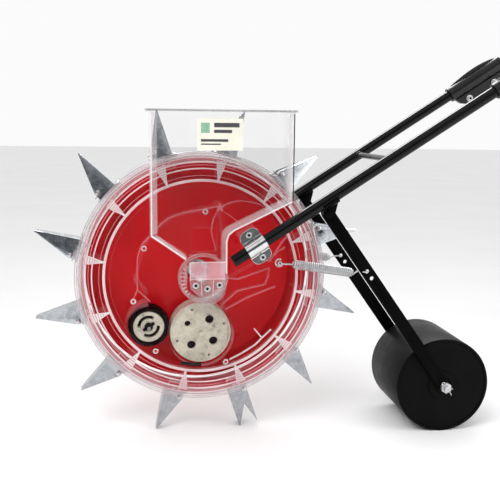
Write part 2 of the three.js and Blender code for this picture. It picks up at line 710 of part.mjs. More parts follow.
function pressArm(side) {
  const half = ARM_WIDE / 2;
  const across = [-armDir[1], armDir[0]];
  const shape = new THREE.Shape();
  const turn = Math.atan2(armDir[1], armDir[0]);
  shape.absarc(ROLLER_AXIS[0], ROLLER_AXIS[1], half, turn - Math.PI / 2, turn + Math.PI / 2, false);
  shape.lineTo(PIVOT[0] + across[0] * half, PIVOT[1] + across[1] * half);
  shape.absarc(PIVOT[0], PIVOT[1], half, turn + Math.PI / 2, turn + 1.5 * Math.PI, false);
  const y = side * ARM_Y;
  const bar = slab(shape, y - ARM_THICK / 2, y + ARM_THICK / 2);
  return cut(bar, [
    peg(...PIVOT, 4.4, y - 9, y + 9, 16),
    peg(...onArm(SPRING_HOLE), 3.8, y - 9, y + 9, 14),
    peg(...onArm(SPRING_HOLE + 15), 3.8, y - 9, y + 9, 14),
    peg(...ROLLER_AXIS, ROLLER_AXLE_R + GAP, y - 9, y + 9, 20),
  ]);
}

function rollerAxle() {
  const [x, z] = ROLLER_AXIS;
  const collars = [-1, 1].flatMap((side) => {
    const outer = side * (ARM_Y + ARM_THICK / 2 + GAP);
    const inner = side * (ARM_Y - ARM_THICK / 2 - GAP);
    return [
      peg(x, z, 10, Math.min(outer, outer + side * 6), Math.max(outer, outer + side * 6), 6),
      peg(x, z, 9, Math.min(inner, inner - side * 4), Math.max(inner, inner - side * 4), 12),
    ];
  });
  return unite([peg(x, z, ROLLER_AXLE_R, -105, 105, 12), ...collars]);
}

function pressRoller() {
  const bore = ROLLER_AXLE_R + 0.4;
  const skin = 5;
  return turned([
    [bore, -ROLLER_HALF], [ROLLER_R - 3, -ROLLER_HALF], [ROLLER_R, -ROLLER_HALF + 3],
    [ROLLER_R, ROLLER_HALF - 3], [ROLLER_R - 3, ROLLER_HALF], [bore, ROLLER_HALF],
    [bore, ROLLER_HALF - skin], [ROLLER_R - skin, ROLLER_HALF - skin],
    [ROLLER_R - skin, -ROLLER_HALF + skin], [bore, -ROLLER_HALF + skin],
  ], SIDES_LARGE, ...ROLLER_AXIS);
}

function tensionSpring(side) {
  const [from, to] = SPRING_COIL;
  const long = Math.hypot(to[0] - from[0], to[1] - from[1]);
  const dir = [(to[0] - from[0]) / long, (to[1] - from[1]) / long];
  const points = [];
  const eye = arcPoints(SPRING_POST[0], SPRING_POST[1], 6.6, 40, 330, 10);
  for (const [x, z] of eye) {
    points.push(new THREE.Vector3(x, side * SPRING_Y, z));
  }
  points.push(new THREE.Vector3(from[0] - 8, side * SPRING_Y, from[1] - 1));
  const stepsPerTurn = 8;
  for (let i = 0; i <= SPRING_TURNS * stepsPerTurn; i++) {
    const a = (i / stepsPerTurn) * 2 * Math.PI;
    const along = (i / (SPRING_TURNS * stepsPerTurn)) * long;
    const lift = SPRING_R * Math.sin(a);
    const out = side * (SPRING_Y + SPRING_R * Math.cos(a));
    points.push(new THREE.Vector3(
      from[0] + dir[0] * along - dir[1] * lift, out, from[1] + dir[1] * along + dir[0] * lift,
    ));
  }
  const [hx, hz] = onArm(SPRING_HOLE);
  const hook = [[-9, 0], [-1.5, -0.6], [0, 3], [0, 8], [-1.5, 12], [-7, 13]];
  for (const [along, deep] of hook) {
    points.push(new THREE.Vector3(hx + along, side * (SPRING_Y + deep), hz));
  }
  const section = new THREE.Shape();
  section.absarc(0, 0, SPRING_WIRE, 0, 2 * Math.PI, false);
  const geometry = new THREE.ExtrudeGeometry(section, {
    steps: 110, bevelEnabled: false, curveSegments: 3, extrudePath: new THREE.CatmullRomCurve3(points),
  });
  return solid(geometry);
}

// ---- assembly -------------------------------------------------------------------------------
put("hopper", hopper(), CLEAR);
put("front_cover", frontCover(), CLEAR);
put("seed_chamber", seedChamber(), CLEAR);
put("hub_housing", hubHousing(), CLEAR);
put("axle", axle(), STEEL);
put("far_bracket", farBracket(), PLASTIC_BLACK);
put("cross_rod", crossRod(), STEEL);

for (const [name, side] of [["near", -1], ["far", 1]]) {
  put(`${name}_clamp`, barClamp(side), CHROME);
  put(`${name}_push_bar`, pushBar(side), GLOSS_BLACK);
  put(`${name}_connector`, connector(side), PLASTIC_BLACK);
  put(`${name}_handle_tube`, upperTube(side), GLOSS_BLACK);
  put(`${name}_grip`, grip(side), RUBBER);
  put(`${name}_pivot_bracket`, pivotBracket(side), GLOSS_BLACK);
  put(`${name}_press_arm`, pressArm(side), GLOSS_BLACK);
  put(`${name}_tension_spring`, tensionSpring(side), STEEL);
}
put("roller_axle", rollerAxle(), STEEL);
put("press_roller", pressRoller(), PLASTIC_BLACK);

put("drum_ring", drumRing(), CLEAR);
put("drum_disc", turned([[22, DISC_Y[0]], [DISC_R, DISC_Y[0]], [DISC_R, DISC_Y[1]], [22, DISC_Y[1]]],
  SIDES_LARGE), RED);
put("ring_gear", ringGear(), BEIGE);
put("drum_bearing", turned(ringProfile(AXLE_R + 0.4, 21.7, 36, 46), 36), STEEL);
put("metering_wheel", meteringWheel(), BEIGE);
put("brush_core", brushCore(), BEIGE);
put("brush_bristles", turned(ringProfile(BRUSH_CORE_R + GAP, BRUSH_R, -22, 6), 32, ...brushAt), BRISTLE);

for (let i = 0; i < OPENERS; i++) {
  const number = String(i + 1).padStart(2, "0");
  const tip = OPENER_PHASE_DEG + i * PITCH_DEG;
  put(`fixed_jaw_${number}`, aboutAxle(fixedJaw(), tip), ZINC);
  const [s, r] = BILL_PIN;
  const swung = i + 1 === OPEN_JAW
    ? aboutAxle(movingJaw().translate([-r, 0, -s]), OPEN_JAW_DEG).translate([r, 0, s])
    : movingJaw();
  put(`moving_jaw_${number}`, aboutAxle(swung, tip), ZINC);
}

group.updateMatrixWorld(true);
const size = new THREE.Box3().setFromObject(group);
group.position.set(-(size.min.x + size.max.x) / 2, -(size.min.y + size.max.y) / 2, -size.min.z);

export default group;
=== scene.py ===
"""Push seeder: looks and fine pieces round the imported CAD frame.

Lengths below are millimetres in the machine's own frame: X towards the handles, Y along the axle,
Z up, with (0, 0, 0) on the axle's axis. at() turns them into the row frame's metres.
"""
import json
import math
import random

import bmesh
import bpy
from mathutils import Matrix, Vector


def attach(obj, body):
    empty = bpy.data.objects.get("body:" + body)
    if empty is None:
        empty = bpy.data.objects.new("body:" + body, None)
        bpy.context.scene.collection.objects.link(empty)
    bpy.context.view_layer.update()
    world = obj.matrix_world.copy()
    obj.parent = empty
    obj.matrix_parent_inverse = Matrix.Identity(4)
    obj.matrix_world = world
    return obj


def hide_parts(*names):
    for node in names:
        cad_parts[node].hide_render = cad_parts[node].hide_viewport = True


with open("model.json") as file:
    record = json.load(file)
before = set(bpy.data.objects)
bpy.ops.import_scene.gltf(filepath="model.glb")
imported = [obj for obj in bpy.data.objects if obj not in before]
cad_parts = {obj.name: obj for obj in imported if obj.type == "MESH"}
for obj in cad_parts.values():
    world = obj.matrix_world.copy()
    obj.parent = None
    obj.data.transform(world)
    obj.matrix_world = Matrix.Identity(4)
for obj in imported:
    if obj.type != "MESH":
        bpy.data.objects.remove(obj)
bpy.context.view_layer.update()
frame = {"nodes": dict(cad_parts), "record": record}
JOINTS = {joint["name"]: joint for joint in frame["record"]["behaviour"]["joints"]}
AXLE = Vector(JOINTS["drum_spin"]["pos_m"])
RNG = random.Random(7)

# ---- driving dimensions -------------------------------------------------------------
OPENERS = 12
OPENER_PHASE = 14.5
PITCH = 360 / OPENERS
DRUM_R = 212
LIP_R = 217.5
DRUM_NEAR = -50
DRUM_FAR = 42
DRUM_WALL = 3.5
RIM_R = 167
DISC_R = 203
TIP_R = 296
BILL_BASE_R = DRUM_R + 0.6
BILL_WIDTH = (44, 24)
JAW_PIN = (24.5, 226.5)
BAR_ANGLE = 32.8
BAR_Z0 = 3.5
BAR_Y = 102
BAR_R = 10
CLAMP_AT = 104
CONNECTOR_AT = 589
CONNECTOR_LONG = 120
HANDLE_START = 651
HANDLE_BEND_AT = 1085
HANDLE_BEND_LONG = 90
GRIP_SLOPE = 8
GRIP_LONG = 122
PIVOT = (211, 115.5)
ROLLER = (436, -200.6)
ROLLER_R = 86
ROLLER_HALF = 80
SPRING_POST = (130, 29)
SPRING_Y = 84
SPRING_COIL = ((153, 26.5), (262, 9.5))
SPRING_HOLE = 126
METER = (0, -103.2)
BRUSH = (129 * math.cos(math.radians(225)), 129 * math.sin(math.radians(225)))
BRUSH_R = 37
METER_R = 54
COVER_FACE = -48.5
HOPPER_FRONT = -128
RING_SIDES = 144
CREASE_DEG = 32


def at(x, y, z):
    return AXLE + Vector((x, y, z)) * 0.001


def polar(radius, deg):
    return radius * math.cos(math.radians(deg)), radius * math.sin(math.radians(deg))


def on_bar(t, n=0.0):
    c, s = polar(1, BAR_ANGLE)
    return t * c - n * s, BAR_Z0 + t * s + n * c


ARM_LONG = math.hypot(ROLLER[0] - PIVOT[0], ROLLER[1] - PIVOT[1])
ARM_DIR = ((ROLLER[0] - PIVOT[0]) / ARM_LONG, (ROLLER[1] - PIVOT[1]) / ARM_LONG)


def on_arm(distance):
    return PIVOT[0] + ARM_DIR[0] * distance, PIVOT[1] + ARM_DIR[1] * distance


# ---- materials ----------------------------------------------------------------------
class Finish:
    """One Principled material with texture nodes, built step by step."""

    def __init__(self, name, color, rough, metal=0.0, **sockets):
        self.mat = bpy.data.materials.new(name)
        self.mat.use_nodes = True
        self.nodes = self.mat.node_tree.nodes
        self.links = self.mat.node_tree.links
        self.bsdf = self.nodes["Principled BSDF"]
        self.set("Base Color", (*color, 1))
        self.set("Roughness", rough)
        self.set("Metallic", metal)
        for key, value in sockets.items():
            self.set(key.replace("_", " "), value)
        self.coords = self.nodes.new("ShaderNodeTexCoord").outputs["Object"]

    def set(self, socket, value):
        self.bsdf.inputs[socket].default_value = value

    def noise(self, scale, detail=4.0, rough=0.6, stretch=None):
        tex = self.nodes.new("ShaderNodeTexNoise")
        tex.inputs["Scale"].default_value = scale
        tex.inputs["Detail"].default_value = detail
        tex.inputs["Roughness"].default_value = rough
        coords = self.coords
        if stretch:
            mapping = self.nodes.new("ShaderNodeMapping")
            mapping.inputs["Scale"].default_value = stretch
            self.links.new(coords, mapping.inputs["Vector"])
            coords = mapping.outputs["Vector"]
        self.links.new(coords, tex.inputs["Vector"])
        return tex.outputs["Fac"]

    def cells(self, scale):
        tex = self.nodes.new("ShaderNodeTexVoronoi")
        tex.inputs["Scale"].default_value = scale
        self.links.new(self.coords, tex.inputs["Vector"])
        return tex.outputs["Color"]

    def ramp(self, factor, stops):
        ramp = self.nodes.new("ShaderNodeValToRGB")
        while len(ramp.color_ramp.elements) < len(stops):
            ramp.color_ramp.elements.new(0.5)
        for element, (place, color) in zip(ramp.color_ramp.elements, stops):
            element.position = place
            element.color = (*color, 1)
        self.links.new(factor, ramp.inputs["Fac"])
        return ramp.outputs["Color"]

    def spread(self, factor, low, high, start=0.3, stop=0.7):
        span = self.nodes.new("ShaderNodeMapRange")
        span.inputs["From Min"].default_value = start
        span.inputs["From Max"].default_value = stop
        span.inputs["To Min"].default_value = low
        span.inputs["To Max"].default_value = high
        self.links.new(factor, span.inputs["Value"])
        return span.outputs["Result"]

    def into(self, output, socket):
        self.links.new(output, self.bsdf.inputs[socket])

    def bump(self, height, distance, strength=0.5):
        node = self.nodes.new("ShaderNodeBump")
        node.inputs["Distance"].default_value = distance
        node.inputs["Strength"].default_value = strength
        self.links.new(height, node.inputs["Height"])
        self.links.new(node.outputs["Normal"], self.bsdf.inputs["Normal"])


def clear_finish(name, face, edge, color, rough=0.07, falloff=2.0, shade=None):
    """Clear moulded plastic: see-through face on, whiter where the wall is seen along its length."""
    made = Finish(name, color, rough, IOR=1.5)
    weight = made.nodes.new("ShaderNodeLayerWeight")
    weight.inputs["Blend"].default_value = 0.5
    power = made.nodes.new("ShaderNodeMath")
    power.operation = "POWER"
    power.inputs[1].default_value = falloff
    made.links.new(weight.outputs["Facing"], power.inputs[0])
    haze = made.spread(made.noise(9), 0, face * 0.8)
    alpha = made.spread(power.outputs[0], face * 0.6, edge, 0.0, 1.0)
    total = made.nodes.new("ShaderNodeMath")
    total.operation = "ADD"
    total.use_clamp = True
    made.links.new(alpha, total.inputs[0])
    made.links.new(haze, total.inputs[1])
    made.into(total.outputs[0], "Alpha")
    tint = made.ramp(made.noise(14), [(0.3, tuple(c * 0.93 for c in color)), (0.7, color)])
    if shade:
        mix = made.nodes.new("ShaderNodeMix")
        mix.data_type = "RGBA"
        mix.inputs["A"].default_value = (*shade, 1)
        made.links.new(tint, mix.inputs["B"])
        made.links.new(made.spread(power.outputs[0], 0, 1, 0.0, 0.3), mix.inputs["Factor"])
        tint = mix.outputs["Result"]
    made.into(tint, "Base Color")
    made.bump(made.noise(60, 2), 0.0004, 0.25)
    return made.mat


def red_finish():
    made = Finish("red_plastic", (0.55, 0.003, 0.010), 0.33, Specular_IOR_Level=0.2)
    color = made.ramp(made.noise(3.5, 3), [(0.3, (0.56, 0.0025, 0.006)), (0.7, (0.72, 0.005, 0.010))])
    made.into(color, "Base Color")
    made.into(made.spread(made.noise(40), 0.27, 0.42), "Roughness")
    made.bump(made.noise(700, 2), 0.0002, 0.3)
    return made.mat


def beige_finish():
    """Speckled nylon of the seed wheels."""
    made = Finish("beige_nylon", (0.55, 0.50, 0.38), 0.5)
    speckled = made.ramp(made.noise(75, 7, 0.8), [
        (0.32, (0.20, 0.18, 0.135)), (0.44, (0.46, 0.43, 0.35)), (0.60, (0.58, 0.55, 0.45)),
        (0.8, (0.64, 0.61, 0.51)),
    ])
    made.into(speckled, "Base Color")
    made.into(made.spread(made.noise(120), 0.38, 0.6), "Roughness")
    made.bump(made.noise(380, 4), 0.0004, 0.4)
    return made.mat


def zinc_finish(name, dark, light, rough=0.36):
    made = Finish(name, light, rough, 0.96)
    spangle = made.ramp(made.cells(160), [(0.0, dark), (1.0, light)])
    streaks = made.noise(30, 5, 0.6, (1, 14, 1))
    mix = made.nodes.new("ShaderNodeMix")
    mix.data_type = "RGBA"
    mix.blend_type = "MULTIPLY"
    mix.inputs["Factor"].default_value = 0.6
    made.links.new(spangle, mix.inputs["A"])
    made.links.new(made.ramp(streaks, [(0.3, (0.72, 0.73, 0.75)), (0.65, (1, 1, 1))]), mix.inputs["B"])
    made.into(mix.outputs["Result"], "Base Color")
    made.into(made.spread(made.noise(70, 5), rough - 0.08, rough + 0.16), "Roughness")
    made.bump(made.noise(260, 4), 0.0003, 0.35)
    return made.mat


def steel_finish(name, color, rough, metal=1.0):
    made = Finish(name, color, rough, metal)
    worn = made.ramp(made.noise(90, 5), [(0.3, tuple(c * 0.72 for c in color)), (0.65, color)])
    made.into(worn, "Base Color")
    made.into(made.spread(made.noise(200, 3, 0.5, (1, 6, 1)), rough * 0.7, rough * 1.5), "Roughness")
    made.bump(made.noise(500, 3), 0.0001, 0.3)
    return made.mat


def black_finish(name, color, rough, specular, grain, grain_depth):
    made = Finish(name, color, rough, Specular_IOR_Level=specular)
    dusty = made.ramp(made.noise(18, 6), [(0.35, color), (0.8, tuple(c * 1.6 + 0.001 for c in color))])
    made.into(dusty, "Base Color")
    made.into(made.spread(made.noise(45, 4), rough * 0.85, rough * 1.2), "Roughness")
    made.bump(made.noise(grain, 3), grain_depth, 0.2)
    return made.mat


def label_finish():
    made = Finish("label_paper", (0.70, 0.69, 0.58), 0.4)
    paper = made.ramp(made.noise(25), [(0.3, (0.64, 0.63, 0.53)), (0.7, (0.74, 0.73, 0.64))])
    made.into(paper, "Base Color")
    made.bump(made.noise(400), 0.0001, 0.2)
    return made.mat


def ink_finish(name, color):
    made = Finish(name, color, 0.45)
    faded = made.ramp(made.noise(300), [(0.3, color), (0.75, tuple(c * 1.5 + 0.02 for c in color))])
    made.into(faded, "Base Color")
    return made.mat


CLEAR = clear_finish("clear_plastic", 0.022, 0.62, (0.82, 0.80, 0.81), shade=(0.04, 0.04, 0.045))
CHAMBER = clear_finish(
    "chamber_plastic", 0.008, 0.40, (0.90, 0.45, 0.50), falloff=2.4, shade=(0.25, 0.02, 0.03))
CLEAR_RING = clear_finish("clear_ring", 0.02, 0.66, (0.88, 0.76, 0.77), falloff=1.8, shade=(0.2, 0.05, 0.06))
LINER = clear_finish("ring_liner", 0.45, 0.72, (0.74, 0.12, 0.16), 0.2, 1.2)
OUTER_BAND = clear_finish("outer_band", 0.26, 0.7, (0.66, 0.55, 0.57), 0.12, 1.4)
# Painted highlight: the milky white and pink white finishes stand in for the bright lines clear plastic shows
# along its rims, ribs and walls.
EDGE_HIGHLIGHT = clear_finish("painted_edge_highlight", 0.65, 0.95, (0.82, 0.75, 0.76), 0.25, 1.2)
PINK_EDGE = clear_finish("pink_edge", 0.42, 0.8, (0.84, 0.26, 0.30), 0.2, 1.2)
PINK_HIGHLIGHT = clear_finish("pink_painted_highlight", 0.55, 0.95, (0.90, 0.72, 0.74), 0.2, 1.2)
# Painted reflection: thin grey lines for the edges of the clear ring's steps and the hopper's lip.
GREY_EDGE_LINE = clear_finish("painted_grey_edge", 0.5, 0.9, (0.36, 0.36, 0.37), 0.15, 1.2)
ROSE = clear_finish("rose_window", 0.42, 0.8, (0.78, 0.48, 0.52), 0.2, 1.2)
HUB_GREY = clear_finish("hub_clear", 0.16, 0.8, (0.66, 0.63, 0.64), 0.15, 1.6)
GHOST = clear_finish("clear_duct", 0.004, 0.10, (0.80, 0.30, 0.34), falloff=2.0)
RED = red_finish()
BEIGE = beige_finish()
ZINC = zinc_finish("galvanised", (0.36, 0.375, 0.40), (0.52, 0.54, 0.56), 0.18)
BRIGHT = steel_finish("zinc_plate", (0.72, 0.73, 0.74), 0.24)
SPRING = steel_finish("spring_steel", (0.60, 0.61, 0.62), 0.3, 0.6)
DARK_STEEL = steel_finish("dark_steel", (0.16, 0.165, 0.17), 0.3)
CHROME = steel_finish("chrome", (0.80, 0.82, 0.81), 0.1)
TUBE_BLACK = black_finish("gloss_black", (0.0012, 0.0012, 0.0013), 0.07, 0.22, 900, 0.00002)
ARM_BLACK = black_finish("arm_black", (0.0012, 0.001, 0.001), 0.3, 0.04, 700, 0.00005)
PLASTIC = black_finish("black_plastic", (0.005, 0.005, 0.0055), 0.3, 0.3, 500, 0.0001)
ROLLER_BLACK = black_finish("roller_plastic", (0.002, 0.0019, 0.0018), 0.4, 0.06, 420, 0.0002)
RUBBER = black_finish("grip_rubber", (0.012, 0.012, 0.0125), 0.7, 0.3, 600, 0.0004)
BRISTLE = black_finish("bristle_nylon", (0.001, 0.001, 0.001), 0.35, 0.1, 300, 0.0001)
# Real black for the brush hub and the seed wiper; also painted shade in dark discs and bands at the floors of
# screw sockets, wheel holes and brush slots, and in the dark line down the hopper's corner.
DARK = black_finish("black_and_painted_shade", (0.004, 0.004, 0.004), 0.6, 0.2, 300, 0.0001)
LABEL = label_finish()
INK = ink_finish("label_ink", (0.03, 0.03, 0.035))
GREEN = ink_finish("label_green", (0.16, 0.30, 0.20))


# ---- mesh helpers -------------------------------------------------------------------
def piece(name, verts, faces, material, body, sharp=35):
    mesh = bpy.data.meshes.new(name)
    mesh.from_pydata([at(*v) for v in verts], [], faces)
    mesh.validate()
    bm = bmesh.new()
    bm.from_mesh(mesh)
    bmesh.ops.remove_doubles(bm, verts=bm.verts, dist=1e-6)
    bmesh.ops.recalc_face_normals(bm, faces=bm.faces)
    bm.to_mesh(mesh)
    bm.free()
    mesh.polygons.foreach_set("use_smooth", [True] * len(mesh.polygons))
    mesh.set_sharp_from_angle(angle=math.radians(sharp))
    obj = bpy.data.objects.new(name, mesh)
    bpy.context.collection.objects.link(obj)
    obj.data.materials.append(material)
    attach(obj, body)
    return obj


class Build:
    """Gathers several closed solids into one piece."""

    def __init__(self):
        self.verts = []
        self.faces = []

    def add(self, verts, faces):
        base = len(self.verts)
        self.verts.extend(verts)
        self.faces.extend([tuple(base + i for i in face) for face in faces])
        return self

    def grid(self, rings, closed_along=False, caps=True):
        """Rings of points, joined one to the next; each ring closes on itself."""
        n = len(rings[0])
        verts = [p for ring in rings for p in ring]
        faces = []
        last = len(rings) if closed_along else len(rings) - 1
        for i in range(last):
            j = (i + 1) % len(rings)
            for k in range(n):
                m = (k + 1) % n
                faces.append((i * n + k, i * n + m, j * n + m, j * n + k))
        if caps and not closed_along:
            faces.append(tuple(range(n)))
            faces.append(tuple(range((len(rings) - 1) * n, len(rings) * n)))
        return self.add(verts, faces)

    def lathe(self, profile, sides, x=0.0, z=0.0, turn=None):
        """A profile of (radius, y) about the Y axis through (x, z); from axis to axis, or closed."""
        on_axis = profile[0][0] == 0
        rings = []
        for i in range(sides):
            a = 2 * math.pi * i / sides
            rings.append([(x + r * math.cos(a), y, z + r * math.sin(a)) for r, y in profile])
        if turn:
            rings = [[turn(p) for p in ring] for ring in rings]
        n = len(profile)
        verts = [p for ring in rings for p in ring]
        faces = []
        for i in range(sides):
            j = (i + 1) % sides
            for k in range(n - 1 if on_axis else n):
                m = (k + 1) % n
                quad = (i * n + k, i * n + m, j * n + m, j * n + k)
                if on_axis and k == 0:
                    quad = (i * n, i * n + m, j * n + m)
                elif on_axis and m == n - 1:
                    quad = (i * n + k, i * n + m, j * n + k)
                faces.append(quad)
        return self.add(verts, faces)

    def prism(self, outline, y0, y1, chamfer=0.0):
        """A convex or concave flat outline in X and Z, from y0 to y1, with chamfered edges."""
        if not chamfer:
            return self.grid([[(x, y, z) for x, z in outline] for y in (y0, y1)])
        small = inset(outline, chamfer)
        steps = [(small, y0), (outline, y0 + chamfer), (outline, y1 - chamfer), (small, y1)]
        return self.grid([[(x, y, z) for x, z in line] for line, y in steps])

    def sweep(self, points, radius, sides=12, caps=True, closed=False):
        return self.grid(tube_rings(points, radius, sides, closed), closed, caps)

    def done(self, name, material, body, slot, sharp=35):
        return piece(name, self.verts, self.faces, material, body, sharp)


def inset(outline, depth):
    """The outline moved inwards by depth, corner by corner."""
    n = len(outline)
    area = sum(
        outline[i][0] * outline[(i + 1) % n][1] - outline[(i + 1) % n][0] * outline[i][1] for i in range(n)
    )
    side = 1 if area > 0 else -1
    made = []
    for i in range(n):
        before, here, after = (Vector(outline[(i + k) % n]) for k in (-1, 0, 1))
        into = (here - before).normalized()
        out = (after - here).normalized()
        normal_in = Vector((-into.y, into.x)) * side
        normal_out = Vector((-out.y, out.x)) * side
        mid = (normal_in + normal_out).normalized()
        reach = depth / max(mid.dot(normal_in), 0.35)
        made.append(tuple(here + mid * reach))
    return made


def tube_rings(points, radius, sides, closed=False):
    path = [Vector(p) for p in points]
    count = len(path)
    radii = radius if isinstance(radius, (list, tuple)) else [radius] * count
    tangents = []
    for i in range(count):
        before = path[(i - 1) % count] if closed or i else path[0]
        after = path[(i + 1) % count] if closed or i < count - 1 else path[-1]
        tangents.append((after - before).normalized())
    side = tangents[0].orthogonal().normalized()
    rings = []
    for i, point in enumerate(path):
        if i:
            side = tangents[i - 1].rotation_difference(tangents[i]) @ side
        side = (side - tangents[i] * side.dot(tangents[i])).normalized()
        up = tangents[i].cross(side)
        ring = []
        for k in range(sides):
            a = 2 * math.pi * k / sides
            ring.append(tuple(point + (side * math.cos(a) + up * math.sin(a)) * radii[i]))
        rings.append(ring)
    return rings


def arc(x, z, radius, start, stop, steps):
    points = []
    for i in range(steps + 1):
        px, pz = polar(radius, start + (stop - start) * i / steps)
        points.append((x + px, z + pz))
    return points


def circle(x, z, radius, sides=24):
    return arc(x, z, radius, 0, 360 - 360 / sides, sides - 1)


def band(line, thickness, closed=False):
    """A strip of one thickness along a line of (x, z) points."""
    left, right = [], []
    n = len(line)
    for i in range(n):
        here = Vector(line[i])
        before = Vector(line[i - 1]) if i else here
        after = Vector(line[i + 1]) if i < n - 1 else here
        into = (here - before).normalized() if i else (after - here).normalized()
        out = (after - here).normalized() if i < n - 1 else into
        normal = Vector((-(into.y + out.y), into.x + out.x)).normalized()
        reach = thickness / 2 / max(normal.dot(Vector((-into.y, into.x))), 0.4)
        left.append(tuple(here + normal * reach))
        right.append(tuple(here - normal * reach))
    return left + right[::-1]


def about_axle(points, deg):
    c, s = polar(1, deg)
    return [(x * c - z * s, x * s + z * c) for x, z in points]


def turned_y(deg, centre=(0, 0)):
    """A function that turns (x, y, z) about the Y axis through centre, from +X towards +Z."""
    c, s = polar(1, deg)

    def move(p):
        x, y, z = p[0] - centre[0], p[1], p[2] - centre[1]
        return centre[0] + x * c - z * s, y, centre[1] + x * s + z * c
    return move


def along_bar(y_centre):
    """A function that lays a solid made about the Y axis along the push bar."""
    c, s = polar(1, BAR_ANGLE)

    def move(p):
        across, t, up = p
        return t * c - up * s, y_centre + across, BAR_Z0 + t * s + up * c
    return move


def cap_screw(build, x, z, face, out, radius=4.2, height=4, washer=6.5):
    """A socket cap screw on a washer: face is the plane's y, out is -1 for the near side."""
    build.lathe([(0, face), (washer, face), (washer, face + out * 1.2), (0, face + out * 1.2)], 24, x, z)
    top = face + out * (1.2 + height)
    build.lathe([
        (0, face + out * 1.2), (radius, face + out * 1.2), (radius, top - out * 0.7), (radius - 0.7, top),
        (radius * 0.56, top), (radius * 0.5, top - out * 2.2), (0, top - out * 2.2),
    ], 20, x, z)


# Painted shade: a dark hex disc at the bottom of the screw's socket.
def socket_shade(build, x, z, face, out, radius=4.2, height=4):
    top = face + out * (1.2 + height)
    build.lathe([
        (0, top - out * 2.15), (radius * 0.49, top - out * 2.15), (radius * 0.49, top - out * 1.9),
        (0, top - out * 1.9),
    ], 6, x, z)


def dress(node, material, bevel=0.0):
    """Gives a CAD node its finish, smooth shading and fine rounded edges; bevel is in millimetres."""
    obj = frame["nodes"][node]
    obj.data.materials.clear()
    obj.data.materials.append(material)
    if "custom_normal" in obj.data.attributes:
        obj.data.attributes.remove(obj.data.attributes["custom_normal"])
    obj.data.polygons.foreach_set("use_smooth", [True] * len(obj.data.polygons))
    obj.modifiers.new("weld", "WELD").merge_threshold = 2e-6
    if bevel:
        edge = obj.modifiers.new("bevel", "BEVEL")
        edge.width = bevel * 0.001
        edge.segments = 2
        edge.limit_method = "ANGLE"
        edge.angle_limit = math.radians(CREASE_DEG)
        edge.use_clamp_overlap = True
    split = obj.modifiers.new("creases", "EDGE_SPLIT")
    split.split_angle = math.radians(40 if bevel else CREASE_DEG)


def recolour_faces(node, material, span_x, span_y, span_z):
    """Gives the node's faces inside a box a second material."""
    obj = frame["nodes"][node]
    obj.data.materials.append(material)
    low, high = (at(*(span[k] for span in (span_x, span_y, span_z))) for k in (0, 1))
    for face in obj.data.polygons:
        middle = obj.matrix_world @ face.center
        if all(low[k] < middle[k] < high[k] for k in range(3)):
            face.material_index = 1


# ---- camera, light and floor ---------------------------------------------------------
def camera():
    data = bpy.data.cameras.new("camera")
    data.sensor_width = 36
    data.lens = 60.28
    data.clip_end = 20
    obj = bpy.data.objects.new("camera", data)
    bpy.context.collection.objects.link(obj)
    yaw, pitch, roll = (math.radians(a) for a in (8.6, 8.57, 0.66))
    forward = Vector((math.sin(yaw) * math.cos(pitch), math.cos(yaw) * math.cos(pitch), -math.sin(pitch)))
    right = Vector((math.cos(yaw), -math.sin(yaw), 0))
    up = right.cross(forward)
    tilted_right = right * math.cos(roll) + up * math.sin(roll)
    tilted_up = up * math.cos(roll) - right * math.sin(roll)
    turn = Matrix((tilted_right, tilted_up, -forward)).transposed().to_4x4()
    obj.matrix_world = Matrix.Translation(at(-131.4, -1475.9, 264.0)) @ turn
    bpy.context.scene.camera = obj


def area_light(name, place, target, size, power, size_y=None):
    data = bpy.data.lights.new(name, "AREA")
    data.energy = power
    data.size = size
    if size_y:
        data.shape = "RECTANGLE"
        data.size_y = size_y
    obj = bpy.data.objects.new(name, data)
    bpy.context.collection.objects.link(obj)
    obj.location = at(*place)
    obj.rotation_euler = (at(*target) - obj.location).to_track_quat("-Z", "Y").to_euler()
    return obj


def studio():
    """A bright back and right side, a dark front left and an overhead softbox, over a pale floor."""
    world = bpy.data.worlds.new("studio")
    bpy.context.scene.world = world
    world.use_nodes = True
    nodes, links = world.node_tree.nodes, world.node_tree.links
    sky = nodes["Background"]
    coords = nodes.new("ShaderNodeTexCoord")
    split = nodes.new("ShaderNodeSeparateXYZ")
    links.new(coords.outputs["Generated"], split.inputs[0])
    bright = None
    for axis, start, stop in (("X", 0.12, 0.45), ("Y", -0.15, 0.2), ("Z", 0.35, 0.6)):
        step = nodes.new("ShaderNodeMapRange")
        step.interpolation_type = "SMOOTHSTEP"
        step.inputs["From Min"].default_value = start
        step.inputs["From Max"].default_value = stop
        links.new(split.outputs[axis], step.inputs["Value"])
        if bright is None:
            bright = step.outputs["Result"]
            continue
        most = nodes.new("ShaderNodeMath")
        most.operation = "MAXIMUM"
        links.new(bright, most.inputs[0])
        links.new(step.outputs["Result"], most.inputs[1])
        bright = most.outputs[0]
    ramp = nodes.new("ShaderNodeValToRGB")
    ramp.color_ramp.elements[0].color = (0.09, 0.095, 0.105, 1)
    ramp.color_ramp.elements[1].color = (0.92, 0.92, 0.92, 1)
    links.new(bright, ramp.inputs["Fac"])
    links.new(ramp.outputs["Color"], sky.inputs["Color"])
    sky.inputs["Strength"].default_value = 1.05
    bpy.context.scene.cycles.transparent_max_bounces = 48
    bpy.context.scene.view_settings.view_transform = "Standard"
    area_light("key", (-1000, -1500, 1700), (0, 0, 0), 1.5, 44).visible_glossy = False
    area_light("back_softbox", (500, 1000, 1500), (300, 0, 100), 2.6, 95, 0.6).visible_diffuse = False
    area_light("right_fill", (1900, -1100, 500), (150, 0, 0), 1.2, 14)


